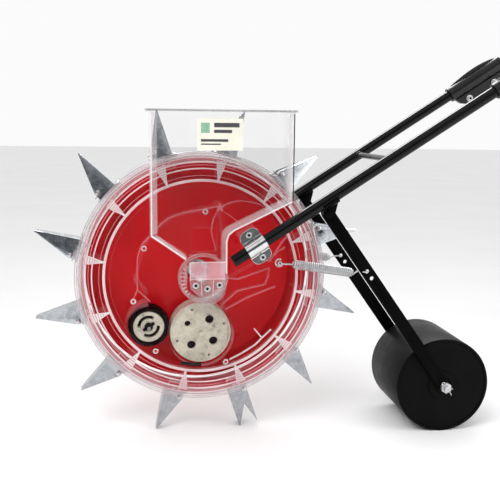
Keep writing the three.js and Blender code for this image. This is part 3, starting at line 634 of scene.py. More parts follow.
def floor():
    size, drop = 18000, -AXLE.z * 1000
    verts = [at(x, y, drop) for x, y in ((-size, -size), (size, -size), (size, size), (-size, size))]
    mesh = bpy.data.meshes.new("floor")
    mesh.from_pydata(verts, [], [(0, 1, 2, 3)])
    obj = bpy.data.objects.new("floor", mesh)
    bpy.context.collection.objects.link(obj)
    made = Finish("floor_pale", (0.84, 0.84, 0.84), 0.7)
    made.into(made.ramp(made.noise(2), [(0.3, (0.82, 0.82, 0.82)), (0.7, (0.86, 0.86, 0.86))]), "Base Color")
    obj.data.materials.append(made.mat)


# ---- drum ---------------------------------------------------------------------------
def drum_shell():
    wall = DRUM_R - DRUM_WALL
    outside = [
        (LIP_R - 0.6, DRUM_NEAR), (LIP_R, DRUM_NEAR + 0.6), (LIP_R, DRUM_NEAR + 2.5),
        (DRUM_R, DRUM_NEAR + 2.5),
    ]
    for y in (-38, -30, 28, 35):
        outside += [(DRUM_R, y - 1.5), (DRUM_R - 0.9, y - 1), (DRUM_R - 0.9, y + 1), (DRUM_R, y + 1.5)]
    outside += [(DRUM_R, DRUM_FAR - 2.5), (LIP_R, DRUM_FAR - 2.5), (LIP_R, DRUM_FAR), (wall, DRUM_FAR)]
    profile = [(RIM_R, DRUM_NEAR)] + outside + [
        (wall, 38), (199, 38), (199, 35.5), (wall, 35.5), (wall, DRUM_NEAR + 3), (RIM_R + 3, DRUM_NEAR + 3),
        (RIM_R + 3, -38), (RIM_R, -38),
    ]
    shell = Build().lathe(profile, RING_SIDES).done("drum_shell", CLEAR_RING, "drum", "clear_plastic", 25)
    tools = Build()
    for i in range(OPENERS):
        corners = [(wall - 5, 2), (DRUM_R + 3, 2), (DRUM_R + 3, 20), (wall - 5, 20)]
        tools.prism(about_axle(corners, OPENER_PHASE + PITCH * i), -16, 16)
    cut(shell, tools)
    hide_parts("drum_ring")
    liner = Build().lathe([(206, -44), (208.2, -44), (208.2, 34), (206, 34)], RING_SIDES)
    liner.done("ring_liner", LINER, "drum", "clear_plastic", 25)


def cut(obj, tools):
    mesh = bpy.data.meshes.new("cutter")
    mesh.from_pydata([at(*v) for v in tools.verts], [], tools.faces)
    bm = bmesh.new()
    bm.from_mesh(mesh)
    bmesh.ops.recalc_face_normals(bm, faces=bm.faces)
    bm.to_mesh(mesh)
    bm.free()
    cutter = bpy.data.objects.new("cutter", mesh)
    bpy.context.collection.objects.link(cutter)
    modifier = obj.modifiers.new("cut", "BOOLEAN")
    modifier.operation = "DIFFERENCE"
    modifier.solver = "EXACT"
    modifier.object = cutter
    bpy.context.view_layer.update()
    whole = obj.evaluated_get(bpy.context.evaluated_depsgraph_get())
    made = bpy.data.meshes.new_from_object(whole)
    obj.modifiers.clear()
    obj.data = made
    bpy.data.objects.remove(cutter)
    made.polygons.foreach_set("use_smooth", [True] * len(made.polygons))
    made.set_sharp_from_angle(angle=math.radians(30))


def step_rings():
    """The moulded steps of the ring's face: white bands of painted highlight, rose lines, thin grey beads of
    painted reflection along the step edges, and an outer band.
    """
    for name, material, rows in (
        ("step_highlights", PINK_HIGHLIGHT, ((188, 1.2, 1.5), (199.4, 1.7, 1.2), (206.8, 0.6, 1.2))),
        ("step_lines", PINK_EDGE, ((176, 0.6, 1.0), (194, 0.7, 1.2), (204, 0.6, 1.2))),
        ("step_grey_lines", GREY_EDGE_LINE, (
            (201.8, 0.35, 0.8), (209.6, 0.4, 0.8), (213.4, 0.35, 0.7), (216.9, 0.45, 0.5))),
    ):
        build = Build()
        for r, half, high in rows:
            lathe_bead(build, r, half, DRUM_NEAR - 0.1, high)
        build.done(name, material, "drum", "clear_plastic", 25)
    low, high = DRUM_NEAR - 0.1, DRUM_NEAR - 0.5
    band_face = Build().lathe([(202, low), (217, low), (217, high), (202, high)], RING_SIDES)
    band_face.done("outer_band", OUTER_BAND, "drum", "clear_plastic", 25)


def lathe_bead(build, radius, half, face, high):
    build.lathe([
        (radius - half, face), (radius + half, face), (radius + half * 0.6, face - high),
        (radius - half * 0.6, face - high),
    ], RING_SIDES)


def pocket_dividers():
    """Clear wedges between the seed pockets, their white a painted highlight, their thin deep walls and the
    grooves across them.
    """
    wedges, grooves, walls = Build(), Build(), Build()
    for i in range(OPENERS):
        turn = OPENER_PHASE + 6 + PITCH * i
        wedge = [(RIM_R + 1, -1.2), (176, -2.6), (190, -6.2), (203, -8.4), (203, 8.4), (190, 6.2), (176, 2.6),
                 (RIM_R + 1, 1.2)]
        wedges.prism(about_axle(wedge, turn), DRUM_NEAR - 1.9, DRUM_NEAR - 0.2, 0.5)
        for k in range(6):
            r = 180 + k * 4.2
            half = 2.2 + (r - 176) * 0.24
            bar = [(r, -half), (r + 0.8, -half), (r + 0.8, half), (r, half)]
            grooves.prism(about_axle(bar, turn), DRUM_NEAR - 2.3, DRUM_NEAR - 1.95)
        wall = [(RIM_R + 4, -0.7), (205, -1.4), (205, 1.4), (RIM_R + 4, 0.7)]
        walls.prism(about_axle(wall, turn), DRUM_NEAR + 4, 28)
    wedges.done("pocket_dividers", EDGE_HIGHLIGHT, "drum", "clear_plastic", 25)
    grooves.done("divider_grooves", PINK_EDGE, "drum", "clear_plastic", 25)
    walls.done("divider_walls", CHAMBER, "drum", "clear_plastic", 25)


def pocket_frames():
    """The open box round each mouth inside the drum's wall, and the small catch in front of it, both pink
    white as painted highlight lines.
    """
    build = Build()
    for i in range(OPENERS):
        turn = OPENER_PHASE + PITCH * i
        u_line = [(205, -3.5), (194, -3.5), (194, 25.5), (205, 25.5)]
        build.prism(about_axle(band(u_line, 1.1), turn), -46, -38)
        catch = [
            (208, 4), (203.5, 4), (203.5, 8), (199.5, 8), (199.5, 12), (203.5, 12), (203.5, 17), (208, 17),
        ]
        build.prism(about_axle(band(catch, 0.9), turn), DRUM_NEAR - 1.6, DRUM_NEAR - 0.2)
    build.done("pocket_frames", PINK_HIGHLIGHT, "drum", "clear_plastic", 25)


def drum_rim():
    # Painted highlight: a pink white bead for the bright line along the clear rim.
    profile = [(RIM_R - 1.0, -51.2), (RIM_R + 2.6, -51.2), (RIM_R + 3.1, -50.4), (RIM_R + 3.1, -50.1),
               (RIM_R - 1.5, -50.1), (RIM_R - 1.5, -50.4)]
    Build().lathe(profile, RING_SIDES).done("drum_rim", PINK_HIGHLIGHT, "drum", "clear_plastic", 25)


def red_disc():
    profile = [
        (22, 38.3), (150, 38.3), (DISC_R, 38.3), (DISC_R, 41), (DISC_R - 1, 42), (178, 42), (176, 43.6),
        (170, 43.6), (168, 42), (64, 42), (62, 44.5), (40, 44.5), (38, 47), (24, 47), (22, 46),
    ]
    build = Build().lathe(profile, RING_SIDES)
    for i in range(OPENERS):
        rib = [(63, -1.4), (169, -1.4), (169, 1.4), (63, 1.4)]
        build.prism(about_axle(rib, OPENER_PHASE + PITCH / 2 + PITCH * i), 41.8, 44, 0.4)
    disc = build.done("red_disc", RED, "drum", "red_plastic", 25)
    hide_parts("drum_disc")


def gear_cover():
    """Red plate in front of the gears, with holes for the axle and the two wheel shafts."""
    plate = Build().lathe([(20, 24.6), (165, 24.6), (166, 25.2), (166, 26), (20, 26)], RING_SIDES)
    cover = plate.done("gear_cover", RED, "frame", "red_plastic", 25)
    tools = Build()
    for (x, z), radius in ((METER, 9.5), (BRUSH, 8.5)):
        tools.prism(circle(x, z, radius, 32), 22, 28)
    cut(cover, tools)


def jaw_details():
    """Rivet ends, base plate screws and the torsion spring of each duckbill, which ride on the drum."""
    rivets, springs = Build(), Build()
    s_pin, r_pin = JAW_PIN
    share = (r_pin - BILL_BASE_R) / (TIP_R - BILL_BASE_R)
    half = (BILL_WIDTH[0] + (BILL_WIDTH[1] - BILL_WIDTH[0]) * share) / 2
    for i in range(OPENERS):
        turn = OPENER_PHASE + PITCH * i
        (px, pz), = about_axle([(r_pin, s_pin)], turn)
        for out in (-1, 1):
            base = out * (half + 2.05)
            rivets.lathe([
                (0, base), (4.3, base), (4.3, base + out * 0.8), (3.2, base + out * 1.9),
                (1.6, base + out * 2.3), (1.2, base + out * 1.7), (0, base + out * 1.7),
            ], 20, px, pz)
            for s in (-9.5, 31.5):
                move = turned_y(turn)
                dome = [(0, 0.2), (3.1, 0.2), (3.1, 1.0), (2.2, 2.0), (0, 2.3)]
                ring = []
                for k in range(16):
                    a = 2 * math.pi * k / 16
                    ring.append([
                        move((DRUM_R + 2.5 + h, out * 20 + q * math.cos(a), s + q * math.sin(a)))
                        for q, h in dome
                    ])
                rivets.grid(ring, True)
        coil = []
        turns, pitch, coil_r = 5, 1.7, 3.9
        for k in range(turns * 12 + 1):
            a = 2 * math.pi * k / 12
            coil.append((px + coil_r * math.cos(a), (k / 12 - turns / 2) * pitch, pz + coil_r * math.sin(a)))
        springs.sweep(coil, 0.65, 6)
    rivets.done("jaw_rivets", BRIGHT, "drum", "zinc")
    springs.done("jaw_springs", SPRING, "drum", "spring_steel", 60)


# ---- seed wheels ---------------------------------------------------------------------
def brush():
    x, z = BRUSH
    build = Build()
    build.lathe([
        (27.2, -28.4), (28.3, -28.4), (28.3, 5), (34.5, 5), (35.4, 4), (35.4, -28), (34.8, -29.4),
        (33, -30.4), (29.6, -30.6), (28, -30), (27.2, -29.2),
    ], 96, x, z)
    rows = (-27.5, -25, -22.5, -19.5, -16, -12, -8, -4, 0, 3.5)
    per_row = 120
    for row, y in enumerate(rows):
        for k in range(per_row):
            a = 360 * (k + 0.5 * (row % 2)) / per_row + RNG.uniform(-0.7, 0.7)
            lean = RNG.uniform(-1.6, 1.6)
            tip_r = BRUSH_R - RNG.uniform(0.05, 0.7)
            rings = []
            for r, half, swing in ((33.5, 0.42, 0.0), (35.4, 0.36, lean * 0.4), (tip_r, 0.16, lean)):
                cx, cz = polar(r, a + swing)
                ax, az = polar(half, a + swing + 90)
                yy = y + RNG.uniform(-0.15, 0.15)
                rings.append([
                    (x + cx - ax, yy, z + cz - az), (x + cx, yy - half, z + cz),
                    (x + cx + ax, yy, z + cz + az), (x + cx, yy + half, z + cz),
                ])
            build.grid(rings)
    strands = build.done("brush_strands", BRISTLE, "brush_wheel", "bristle", 60)
    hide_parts("brush_bristles")
    slots = Build()
    # Painted shade: dark bands at the floor of the core's two curved slots.
    for start in (60, 240):
        slots.prism(band(arc(x, z, 17, start + 4, start + 121, 14), 5.6), -21.4, -20.3)
    slots.done("brush_slot_shade", DARK, "brush_wheel", "bristle")
    hub = Build()
    hub.lathe([(0, -28.2), (7.5, -28.2), (7.5, -31), (6.5, -32), (0, -32)], 32, x, z)
    for turn in (35, 215):
        lobe = [(cx + x, cz + z) for cx, cz in about_axle(
            [(4, -3), (11, -2.6), (12.4, 0), (11, 2.6), (4, 3)], turn)]
        hub.prism(lobe, -31, -28.2, 0.5)
    hub.done("brush_hub", DARK, "brush_wheel", "bristle")
    screw = Build()
    screw.lathe([(1.3, -44.85), (3, -44.85), (3, -45.5), (1.3, -45.5)], 20, x, z)
    screw.done("brush_screw", BRIGHT, "brush_wheel", "steel")


def meter_details():
    x, z = METER
    screws, dark = Build(), Build()
    for turn, hole, screw in ((55, 7.8, 0), (145, 5.5, 3.2), (235, 7.8, 0), (325, 7.8, 4.8)):
        cx, cz = polar(28, turn)
        # Painted shade: a dark plug fills each hole in the wheel.
        dark.lathe([(0, -16.2), (hole - 0.15, -16.2), (hole - 0.15, -23), (0, -23)], 28, x + cx, z + cz)
        if screw:
            cap_screw(screws, x + cx, z + cz, -17.5, -1, screw * 0.8, 3, screw)
            socket_shade(dark, x + cx, z + cz, -17.5, -1, screw * 0.8, 3)
    screws.done("meter_screws", SPRING, "metering_wheel", "steel")
    dark.done("meter_hole_shade", DARK, "metering_wheel", "bristle")
    lip = Build().lathe([
        (METER_R - 3.5, -30.1), (METER_R - 0.1, -30.1), (METER_R - 0.1, -31.2), (METER_R - 0.8, -31.8),
        (METER_R - 2.8, -31.8), (METER_R - 3.5, -31.2),
    ], 120, x, z)
    lip.done("meter_lip", BEIGE, "metering_wheel", "beige_plastic")
    guard = Build().lathe([(57, -45), (58.4, -45), (58.4, -31), (57, -31)], 96, x, z)
    guard.done("meter_guard", CHAMBER, "frame", "clear_plastic")


# ---- clear covers --------------------------------------------------------------------
def cover_details():
    ribs = Build()
    lines = [
        [(-75, 87), (-64, 97), (-52, 104), (-29, 112), (2, 117), (25, 122)],
        [(27, 112), (21, 101), (18, 89), (17, 79), (19, 69), (25, 46)],
        [(38, 123), (48, 128), (60, 131), (72, 132), (83, 130), (97, 127), (111, 121)],
        [(40, 112), (54, 103), (68, 92)],
        [(-90, 70), (-100, 60), (-106, 49), (-110, 34), (-111, 16), (-111, -22), (-118, -40)],
        [(-111, -22), (-89, -43)],
        [(45, -4), (65, -6), (120, 13)], [(120, 13), (118, -2), (113, -16)],
        [(38, -50), (63, -27), (113, -16)], [(42, -60), (81, -39), (131, -20)],
        [(122, 27), (143, 60), (157, 74)], [(118, 24), (134, 42), (148, 50)],
    ]
    for line in lines:
        ribs.prism(band(line, 1.5), -45.2, -36)
    ribs.done("cover_ribs", PINK_EDGE, "frame", "clear_plastic", 25)
    # Painted highlight: the gate ribs are milky white for the bright lines the clear ribs show.
    gate = Build()
    for line in ([(94, -95), (108, -112), (124, -97)], [(108, -112), (96, -124), (72, -139), (50, -150)]):
        gate.prism(band(line, 2.2), -48, -44.6)
    gate.done("gate_ribs", EDGE_HIGHLIGHT, "frame", "clear_plastic", 25)
    screws, dark = Build(), Build()
    for x, z in ((6, 114), (-99, 51), (-118, -41), (-80, -130), (43, -153)):
        screws.lathe([
            (2.1, COVER_FACE), (5, COVER_FACE), (5, COVER_FACE - 1.4), (4.2, COVER_FACE - 2.2),
            (2.8, COVER_FACE - 2.2), (2.1, COVER_FACE - 1.2),
        ], 24, x, z)
        dark.lathe([
            (0, COVER_FACE - 0.2), (2, COVER_FACE - 0.2), (2, COVER_FACE - 0.9), (0, COVER_FACE - 0.9),
        ], 16, x, z)
    screws.done("cover_screws", BRIGHT, "frame", "steel")
    dark.done("cover_screw_sockets", RED, "frame", "red_plastic")
    star = Build()
    star_x, star_z = 31, 121
    for turn in (20, 92, 164, 236, 308):
        leaf = about_axle([(0, -1.8), (6.5, -2.2), (8.5, 0), (6.5, 2.2), (0, 1.8)], turn)
        star.prism([(star_x + a, star_z + b) for a, b in leaf], -50.5, -48.7, 0.4)
    star.lathe([(0, -49), (4, -49), (4, -51), (3.4, -51.6), (0, -51.6)], 24, star_x, star_z)
    star.done("cover_star", PINK_EDGE, "frame", "clear_plastic")
    wiper = Build().prism(band(arc(0, 0, 158, 257, 270, 8), 5), COVER_FACE + 0.1, -40, 0.5)
    wiper.done("seed_wiper", DARK, "frame", "rubber")


def hub_details():
    ring = Build()
    ring.lathe([
        (37, -64.2), (41.6, -64.2), (42.6, -65.2), (42.6, -68.6), (41.4, -69.8), (37, -69.8),
    ], 96, 1, 2)
    ring.done("hub_ring", HUB_GREY, "frame", "clear_plastic")
    tabs = Build()
    # Painted highlight: the tabs are milky white for the bright lines the clear tabs show.
    for k in range(10):
        tab = [(32, -0.8), (37.5, -0.8), (37.5, 0.8), (32, 0.8)]
        tabs.prism(about_axle(tab, 130 + k * 11), -68, -64.2, 0.3)
    tabs.done("hub_tabs", EDGE_HIGHLIGHT, "frame", "clear_plastic")
    face = HOPPER_FRONT - 0.2
    flange, lines, window = Build(), Build(), Build()
    outline = [(-27, 9), (-25, -7)] + arc(1, 7, 27, 212, 328, 14) + [(28, -7), (31, 9)]
    flange.prism(outline, face - 2.6, face, 0.6)
    flange.done("outlet_flange", HUB_GREY, "frame", "clear_plastic")
    window.prism([(-25, 12), (31, 12), (31, 38), (-25, 38)], face - 0.8, face, 0.3)
    window.done("outlet_window", ROSE, "frame", "clear_plastic")
    # Painted highlight: pink white lines along the window's frame and the flange's ribs.
    for line in ([(-26, 11), (32, 11)], [(-26, 39), (33, 39)], [(-26, 39), (-26, 9)]):
        lines.prism(band(line, 1.6), face - 1.6, face - 0.85)
    for line in ([(-8, 9), (-7, -16)], [(12, 9), (11, -16)]):
        lines.prism(band(line, 1.0), face - 3.2, face - 2.7)
    lines.done("outlet_lines", PINK_HIGHLIGHT, "frame", "clear_plastic")
    screws, dark = Build(), Build()
    base = face - 2.7
    for x, z in ((-17, 0.8), (2, -4.6), (22, 1.4)):
        screws.lathe([
            (2.2, base), (5.6, base), (5.6, base - 1.2), (4.7, base - 2.6), (3, base - 2.6),
            (2.2, base - 1.6),
        ], 24, x, z)
        # Painted shade: a dark disc inside each screw's hole.
        dark.lathe([(0, base - 0.1), (2.1, base - 0.1), (2.1, base - 0.9), (0, base - 0.9)], 12, x, z)
    screws.done("hub_screws", BRIGHT, "frame", "steel")
    dark.done("hub_screw_shade", DARK, "frame", "steel")


def label():
    x0, x1, z0, z1 = -15, 59, 221, 272
    y = HOPPER_FRONT - 0.35
    paper = Build().prism([(x0, z0), (x1, z0), (x1, z1), (x0, z1)], y - 0.3, y)
    paper.done("label", LABEL, "frame", None)
    bars = Build()
    for low, high, left, right in ((37, 44, 27, 68), (28, 33, 27, 56), (14, 18, 6, 50), (9, 11, 6, 38)):
        bars.prism(
            [(x0 + left, z0 + low), (x0 + right, z0 + low), (x0 + right, z0 + high), (x0 + left, z0 + high)],
            y - 0.55, y - 0.35)
    bars.done("label_bars", INK, "frame", None)
    tab = Build().prism(
        [(x0 + 6, z0 + 28), (x0 + 20, z0 + 28), (x0 + 20, z0 + 44), (x0 + 6, z0 + 44)], y - 0.55, y - 0.35)
    tab.done("label_tab", GREEN, "frame", None)


def hopper_edges():
    """The clear hopper's edge lines, as thin pieces on its front face: grey bands and milky white lines of
    painted highlight down the walls and the outlet, a dark line of painted reflection down the corner, and a
    grey lip of painted edge line on the rim.
    """
    front = HOPPER_FRONT - 0.15
    wide = Build()
    for line, across in (
        ([(-83.5, 280), (-83.5, 86)], 9), ([(-82, 83), (-33, 47)], 5), ([(138.5, 280), (138.5, 140)], 7),
    ):
        wide.prism(band(line, across), front - 0.35, front)
    wide.done("hopper_bands", HUB_GREY, "frame", "clear_plastic", 25)
    build = Build()
    for line, across in (
        ([(-88.6, 280), (-88.6, 84)], 1.6), ([(-88.6, 83), (-33, 44.5)], 2.6),
        ([(142, 138), (46, 91.5), (37, 84), (33.5, 74), (33.5, 20)], 2.6),
    ):
        build.prism(band(line, across), front - 1.1, front - 0.4, 0.2)
    build.done("hopper_edges", EDGE_HIGHLIGHT, "frame", "clear_plastic", 25)
    # Painted reflection: a dark line down the hopper's clear corner.
    corner = Build().prism(band([(143.2, 281), (143.2, 139)], 1.7), front - 0.9, front - 0.4)
    corner.done("hopper_corner_line", DARK, "frame", "clear_plastic", 25)
    rim = Build()
    outer, inner = rounded(-98, 152, -136, -56, 23), rounded(-95, 149, -133, -59, 20)
    rings = []
    for line, z in ((outer, 283.6), (outer, 286.2), (inner, 286.2), (inner, 283.6)):
        rings.append([(x, y, z) for x, y in line])
    rim.grid(rings, True)
    rim.done("hopper_lip", GREY_EDGE_LINE, "frame", "clear_plastic", 25)


def rounded(x0, x1, y0, y1, radius, steps=8):
    points = []
    for cx, cy, start in ((x1, y1, 0), (x0, y1, 90), (x0, y0, 180), (x1, y0, 270)):
        px = cx - radius if cx == x1 else cx + radius
        py = cy - radius if cy == y1 else cy + radius
        points += arc(px, py, radius, start, start + 90, steps)
    return points


# ---- push bars -----------------------------------------------------------------------
def saddle(side):
    """Pressed chrome strap over the push bar, with its two cap screws."""
    inner, thick = BAR_R + 0.25, 2.2
    foot = -side * (BAR_R - 0.5)
    line = [(-31, foot), (-17, foot), (-13.4, foot + side * 1.4)]
    for k in range(0, 13):
        a = math.radians(190 - k * (200 / 12))
        line.append(((inner + thick / 2) * math.cos(a), side * (inner + thick / 2) * math.sin(a)))
    line += [(13.4, foot + side * 1.4), (17, foot), (31, foot)]
    section = band(line, thick)
    rings = []
    for t in (-18, -17.4, -16, -13, -10, -6, 6, 10, 13, 16, 17.4, 18):
        reach = 19 + 12 * math.sqrt(1 - (max(abs(t) - 6, 0) / 12) ** 2)
        ring = []
        for n, y in section:
            x, z = on_bar(CLAMP_AT + t, math.copysign(min(abs(n), reach), n))
            ring.append((x, side * BAR_Y + y, z))
        rings.append(ring)
    name = "near" if side < 0 else "far"
    strap = Build().grid(rings).done(f"{name}_saddle", CHROME, "frame", "chrome", 40)
    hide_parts(f"{name}_clamp")
    screws, dark, pads = Build(), Build(), Build()
    face = side * BAR_Y + foot + side * (thick / 2 + 0.05)
    for n in (-22.5, 22.5):
        x, z = on_bar(CLAMP_AT, n)
        cap_screw(screws, x, z, face + side * 0.5, side, 5.2, 3.2, 5.6)
        socket_shade(dark, x, z, face + side * 0.5, side, 5.2, 3.2)
        flip = 1 if n > 0 else -1
        pad = [(-17.6, 13.9), (17.6, 13.9), (17.6, 19.5), (15.8, 25), (12.6, 28.4), (8, 30.4), (-8, 30.4),
               (-12.6, 28.4), (-15.8, 25), (-17.6, 19.5)]
        pads.prism([on_bar(CLAMP_AT + t, flip * away) for t, away in pad], face, face + side * 0.45)
    screws.done(f"{name}_saddle_screws", BRIGHT, "frame", "steel")
    dark.done(f"{name}_saddle_socket_shade", DARK, "frame", "steel")
    pads.done(f"{name}_saddle_feet", DARK_STEEL, "frame", "steel")


def handle_point(at_long):
    x1, z1 = on_bar(HANDLE_BEND_AT)
    straight = HANDLE_BEND_AT - HANDLE_START
    if at_long <= straight:
        return on_bar(HANDLE_START + at_long)
    turn = math.radians(GRIP_SLOPE - BAR_ANGLE)
    radius = HANDLE_BEND_LONG / abs(turn)
    swung = min((at_long - straight) / HANDLE_BEND_LONG, 1) * turn
    start = math.radians(BAR_ANGLE)
    heading = start + swung
    x = x1 + radius * (math.sin(start) - math.sin(heading))
    z = z1 + radius * (math.cos(heading) - math.cos(start))
    rest = max(at_long - straight - HANDLE_BEND_LONG, 0)
    return x + rest * math.cos(heading), z + rest * math.sin(heading)


def handle(side):
    name = "near" if side < 0 else "far"
    y = side * BAR_Y
    total = HANDLE_BEND_AT - HANDLE_START + HANDLE_BEND_LONG + GRIP_LONG + 12
    stops = [0, 200, 420] + [434 + 9 * k for k in range(11)] + [total - 60, total]
    path = [(x, y, z) for x, z in (handle_point(s) for s in stops)]
    tube = Build().sweep(path, BAR_R, 40).done(f"{name}_upper_tube", TUBE_BLACK, "frame", "gloss_black", 50)
    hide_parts(f"{name}_handle_tube")
    end_x, end_z = handle_point(total)
    c, s = polar(1, GRIP_SLOPE)

    def place(p):
        across, along, up = p
        return end_x + along * c - up * s, y + across, end_z + along * s + up * c

    profile = [(0, 4), (9, 4), (13, 2.6), (14.9, 0)]
    ridges = 22
    step = (GRIP_LONG - 16) / ridges
    for k in range(ridges):
        from_y = -3 - k * step
        swell = 0.9 * math.sin(math.pi * (k + 0.5) / ridges)
        profile += [(14.0 + swell, from_y), (14.0 + swell, from_y - step * 0.5),
                    (13.1 + swell, from_y - step * 0.62), (13.1 + swell, from_y - step * 0.9)]
    profile += [(14.2, -GRIP_LONG + 11), (16.6, -GRIP_LONG + 6), (17.2, -GRIP_LONG + 4),
                (17.2, -GRIP_LONG + 1), (16.2, -GRIP_LONG), (BAR_R + 0.3, -GRIP_LONG), (BAR_R + 0.3, 0.3),
                (0, 0.3)]
    rubber = Build().lathe(profile, 48, turn=place).done(f"{name}_handle_grip", RUBBER, "frame", "rubber", 28)
    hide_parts(f"{name}_grip")


def connector(side):
    """Clamshell connector: a sleeve, an arched fin over it and a bolted plate under it."""
    name = "near" if side < 0 else "far"
    a, b = CONNECTOR_AT, CONNECTOR_AT + CONNECTOR_LONG
    y = side * BAR_Y
    build = Build()
    build.lathe([
        (BAR_R + 0.3, a), (13.2, a), (14, a + 0.8), (14, b - 0.8), (13.2, b), (BAR_R + 0.3, b),
    ], 48, turn=along_bar(y))
    fin = [on_bar(a + 4, 13)]
    for k in range(1, 20):
        share = k / 20
        rise = 6.8 * math.sin(math.pi * share ** 1.25) ** 0.7
        fin.append(on_bar(a + 4 + share * (CONNECTOR_LONG - 8), 13 + rise))
    fin.append(on_bar(b - 4, 13))
    build.prism(fin, y - 3, y + 3, 1.0)
    plate = [on_bar(t, n) for t, n in (
        (a + 5, -12.5), (a + 12, -25), (a + 20, -31), (a + 34, -34), (a + 86, -34), (a + 100, -31),
        (a + 108, -25), (a + 115, -12.5))]
    build.prism(plate, y - 7.5, y + 7.5, 1.4)
    shell = build.done(f"{name}_bar_connector", PLASTIC, "frame", "black_plastic", 30)
    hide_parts(f"{name}_connector")
    bolts, dark = Build(), Build()
    for t in (a + 30, a + 88):
        x, z = on_bar(t, -25)
        for out in (-1, 1):
            cap_screw(bolts, x, z, y + out * 7.6, out, 4.6, 4, 6.6)
            socket_shade(dark, x, z, y + out * 7.6, out, 4.6, 4)
    bolts.done(f"{name}_connector_bolts", SPRING, "frame", "steel")
    dark.done(f"{name}_connector_socket_shade", DARK, "frame", "steel")


def bar_plugs():
    build = Build()
    for side in (-1, 1):
        place = along_bar(side * BAR_Y)
        build.lathe([(0, 57.2), (9.2, 57.2), (10, 58.0), (8.3, 58.0), (8.3, 66), (0, 66)], 32, turn=place)
    build.done("bar_plugs", PLASTIC, "frame", "black_plastic")


# ---- press wheel ---------------------------------------------------------------------
def roller():
    bore, half, r = 6.4, ROLLER_HALF, ROLLER_R
    profile = [
        (bore, -half + 2), (15, -half + 2), (16, -half), (26, -half), (27, -half + 2.2),
        (r - 6, -half + 2.2),
        (r - 4.6, -half), (r - 2.2, -half), (r - 0.6, -half + 0.7), (r, -half + 2.2),
        (r, half - 2.2), (r - 0.6, half - 0.7), (r - 2.2, half), (r - 4.6, half), (r - 6, half - 2.2),
        (27, half - 2.2), (26, half), (16, half), (15, half - 2), (bore, half - 2),
    ]
    build = Build().lathe(profile, 160, *ROLLER)
    drum = build.done("roller_drum", ROLLER_BLACK, "press_roller", "roller_plastic", 25)
    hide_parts("press_roller")
    pins = Build()
    x, z = ROLLER
    for out in (-1, 1):
        y = out * 101.5
        long_leg = [(x - 8, y, z + 8), (x - 2, y, z + 2), (x + 3, y, z - 3), (x + 8, y + out, z - 12)]
        short_leg = [(x - 3, y + out * 1.2, z + 2), (x + 4, y + out * 1.2, z + 1), (x + 10, y + out * 2, z)]
        pins.sweep(long_leg, 0.7, 8)
        pins.sweep(short_leg, 0.7, 8)
        loop = [(x - 8 + 2.4 * math.cos(k * 0.63), y, z + 10 + 2.4 * math.sin(k * 0.63)) for k in range(10)]
        pins.sweep(loop, 0.7, 8, closed=True)
    pins.done("split_pins", BRIGHT, "press_arms", "steel")


def arm_details():
    build = Build()
    for side in (-1, 1):
        face = side * 92.6
        x, z = PIVOT
        build.lathe([(4.6, face), (9.5, face), (9.5, face + side * 1.4), (4.6, face + side * 1.4)], 28, x, z)
    build.done("arm_washers", BRIGHT, "press_arms", "steel")


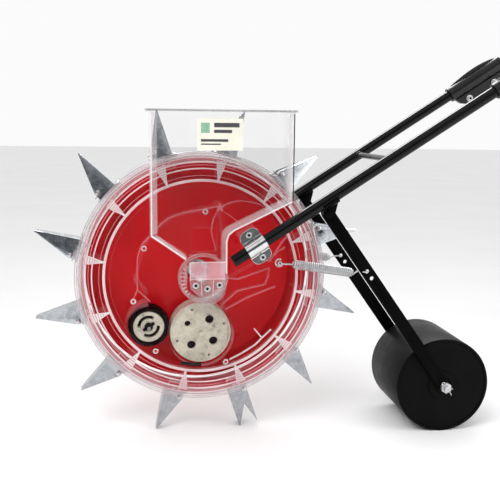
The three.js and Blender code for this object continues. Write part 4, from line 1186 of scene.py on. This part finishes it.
def spring_piece(side):
    (x0, z0), (x1, z1) = SPRING_COIL
    y0 = side * SPRING_Y
    long = math.hypot(x1 - x0, z1 - z0)
    dx, dz = (x1 - x0) / long, (z1 - z0) / long
    path = [(px, y0, pz) for px, pz in arc(*SPRING_POST, 6.4, 60, 345, 22)]
    path += [(x0 - 12, y0, z0 - 0.2), (x0 - 6, y0, z0), (x0 - 3, y0 + side * 3, z0)]
    turns, per_turn, coil_r = 30, 16, 7.3
    for k in range(turns * per_turn + 1):
        a = 2 * math.pi * k / per_turn
        share = k / (turns * per_turn)
        taper = min(1, share * 14 + 0.35, (1 - share) * 10 + 0.35)
        lift = coil_r * taper * math.sin(a)
        path.append((
            x0 + dx * share * long - dz * lift, y0 + side * coil_r * taper * math.cos(a),
            z0 + dz * share * long + dx * lift,
        ))
    hx, hz = on_arm(SPRING_HOLE)
    for along, deep in (
        (-14, 0), (-6, 0), (-1.5, 0.3), (0, 2.2), (0.3, 5), (0, 9), (-1.6, 11.2), (-5, 12), (-9, 11),
    ):
        path.append((hx + along, y0 + side * deep, hz))
    wire = Build().sweep(path, 1.2, 8)
    name = "near" if side < 0 else "far"
    made = wire.done(f"{name}_spring_wire", SPRING, "frame", "spring_steel", 70)
    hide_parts(f"{name}_tension_spring")


def spring_post_screw():
    build = Build()
    x, z = SPRING_POST
    cap_screw(build, x, z, -91, -1, 2.4, 1.8, 3.8)
    build.done("spring_post_screw", BRIGHT, "frame", "steel")


camera()
studio()
floor()

for node, material, bevel in (
    ("hopper", CLEAR, 0), ("front_cover", CHAMBER, 0), ("seed_chamber", CHAMBER, 0),
    ("hub_housing", CLEAR, 0), ("axle", BRIGHT, 0.4), ("far_bracket", PLASTIC, 0.8),
    ("cross_rod", PLASTIC, 0.3),
    ("near_push_bar", TUBE_BLACK, 0), ("far_push_bar", TUBE_BLACK, 0),
    ("near_pivot_bracket", ARM_BLACK, 0.5), ("far_pivot_bracket", ARM_BLACK, 0.5),
    ("near_press_arm", ARM_BLACK, 0.5), ("far_press_arm", ARM_BLACK, 0.5),
    ("roller_axle", SPRING, 0.4), ("ring_gear", RED, 0), ("drum_bearing", BRIGHT, 0.3),
    ("metering_wheel", BEIGE, 0.3), ("brush_core", BEIGE, 0.3),
):
    dress(node, material, bevel=bevel)
recolour_faces("brush_core", DARK, (BRUSH[0] - 8, BRUSH[0] + 8), (-46, -28.5), (BRUSH[1] - 8, BRUSH[1] + 8))
# the seed duct between hopper and chamber hardly shows
for node in ("hopper", "seed_chamber"):
    recolour_faces(node, GHOST, (-34, 22), (-62, 60), (44, 96))
recolour_faces("hub_housing", GHOST, (-40, 40), (-70, -40), (43, 96))
recolour_faces("front_cover", GHOST, (-34, 30), (-62, 0), (44, 96))
for i in range(1, OPENERS + 1):
    dress(f"fixed_jaw_{i:02d}", ZINC, bevel=0.3)
    dress(f"moving_jaw_{i:02d}", ZINC, bevel=0.3)

drum_shell()
step_rings()
pocket_dividers()
pocket_frames()
drum_rim()
red_disc()
gear_cover()
jaw_details()
brush()
meter_details()
cover_details()
hub_details()
label()
hopper_edges()
for side in (-1, 1):
    saddle(side)
    handle(side)
    connector(side)
    spring_piece(side)
bar_plugs()
roller()
arm_details()
spring_post_screw()
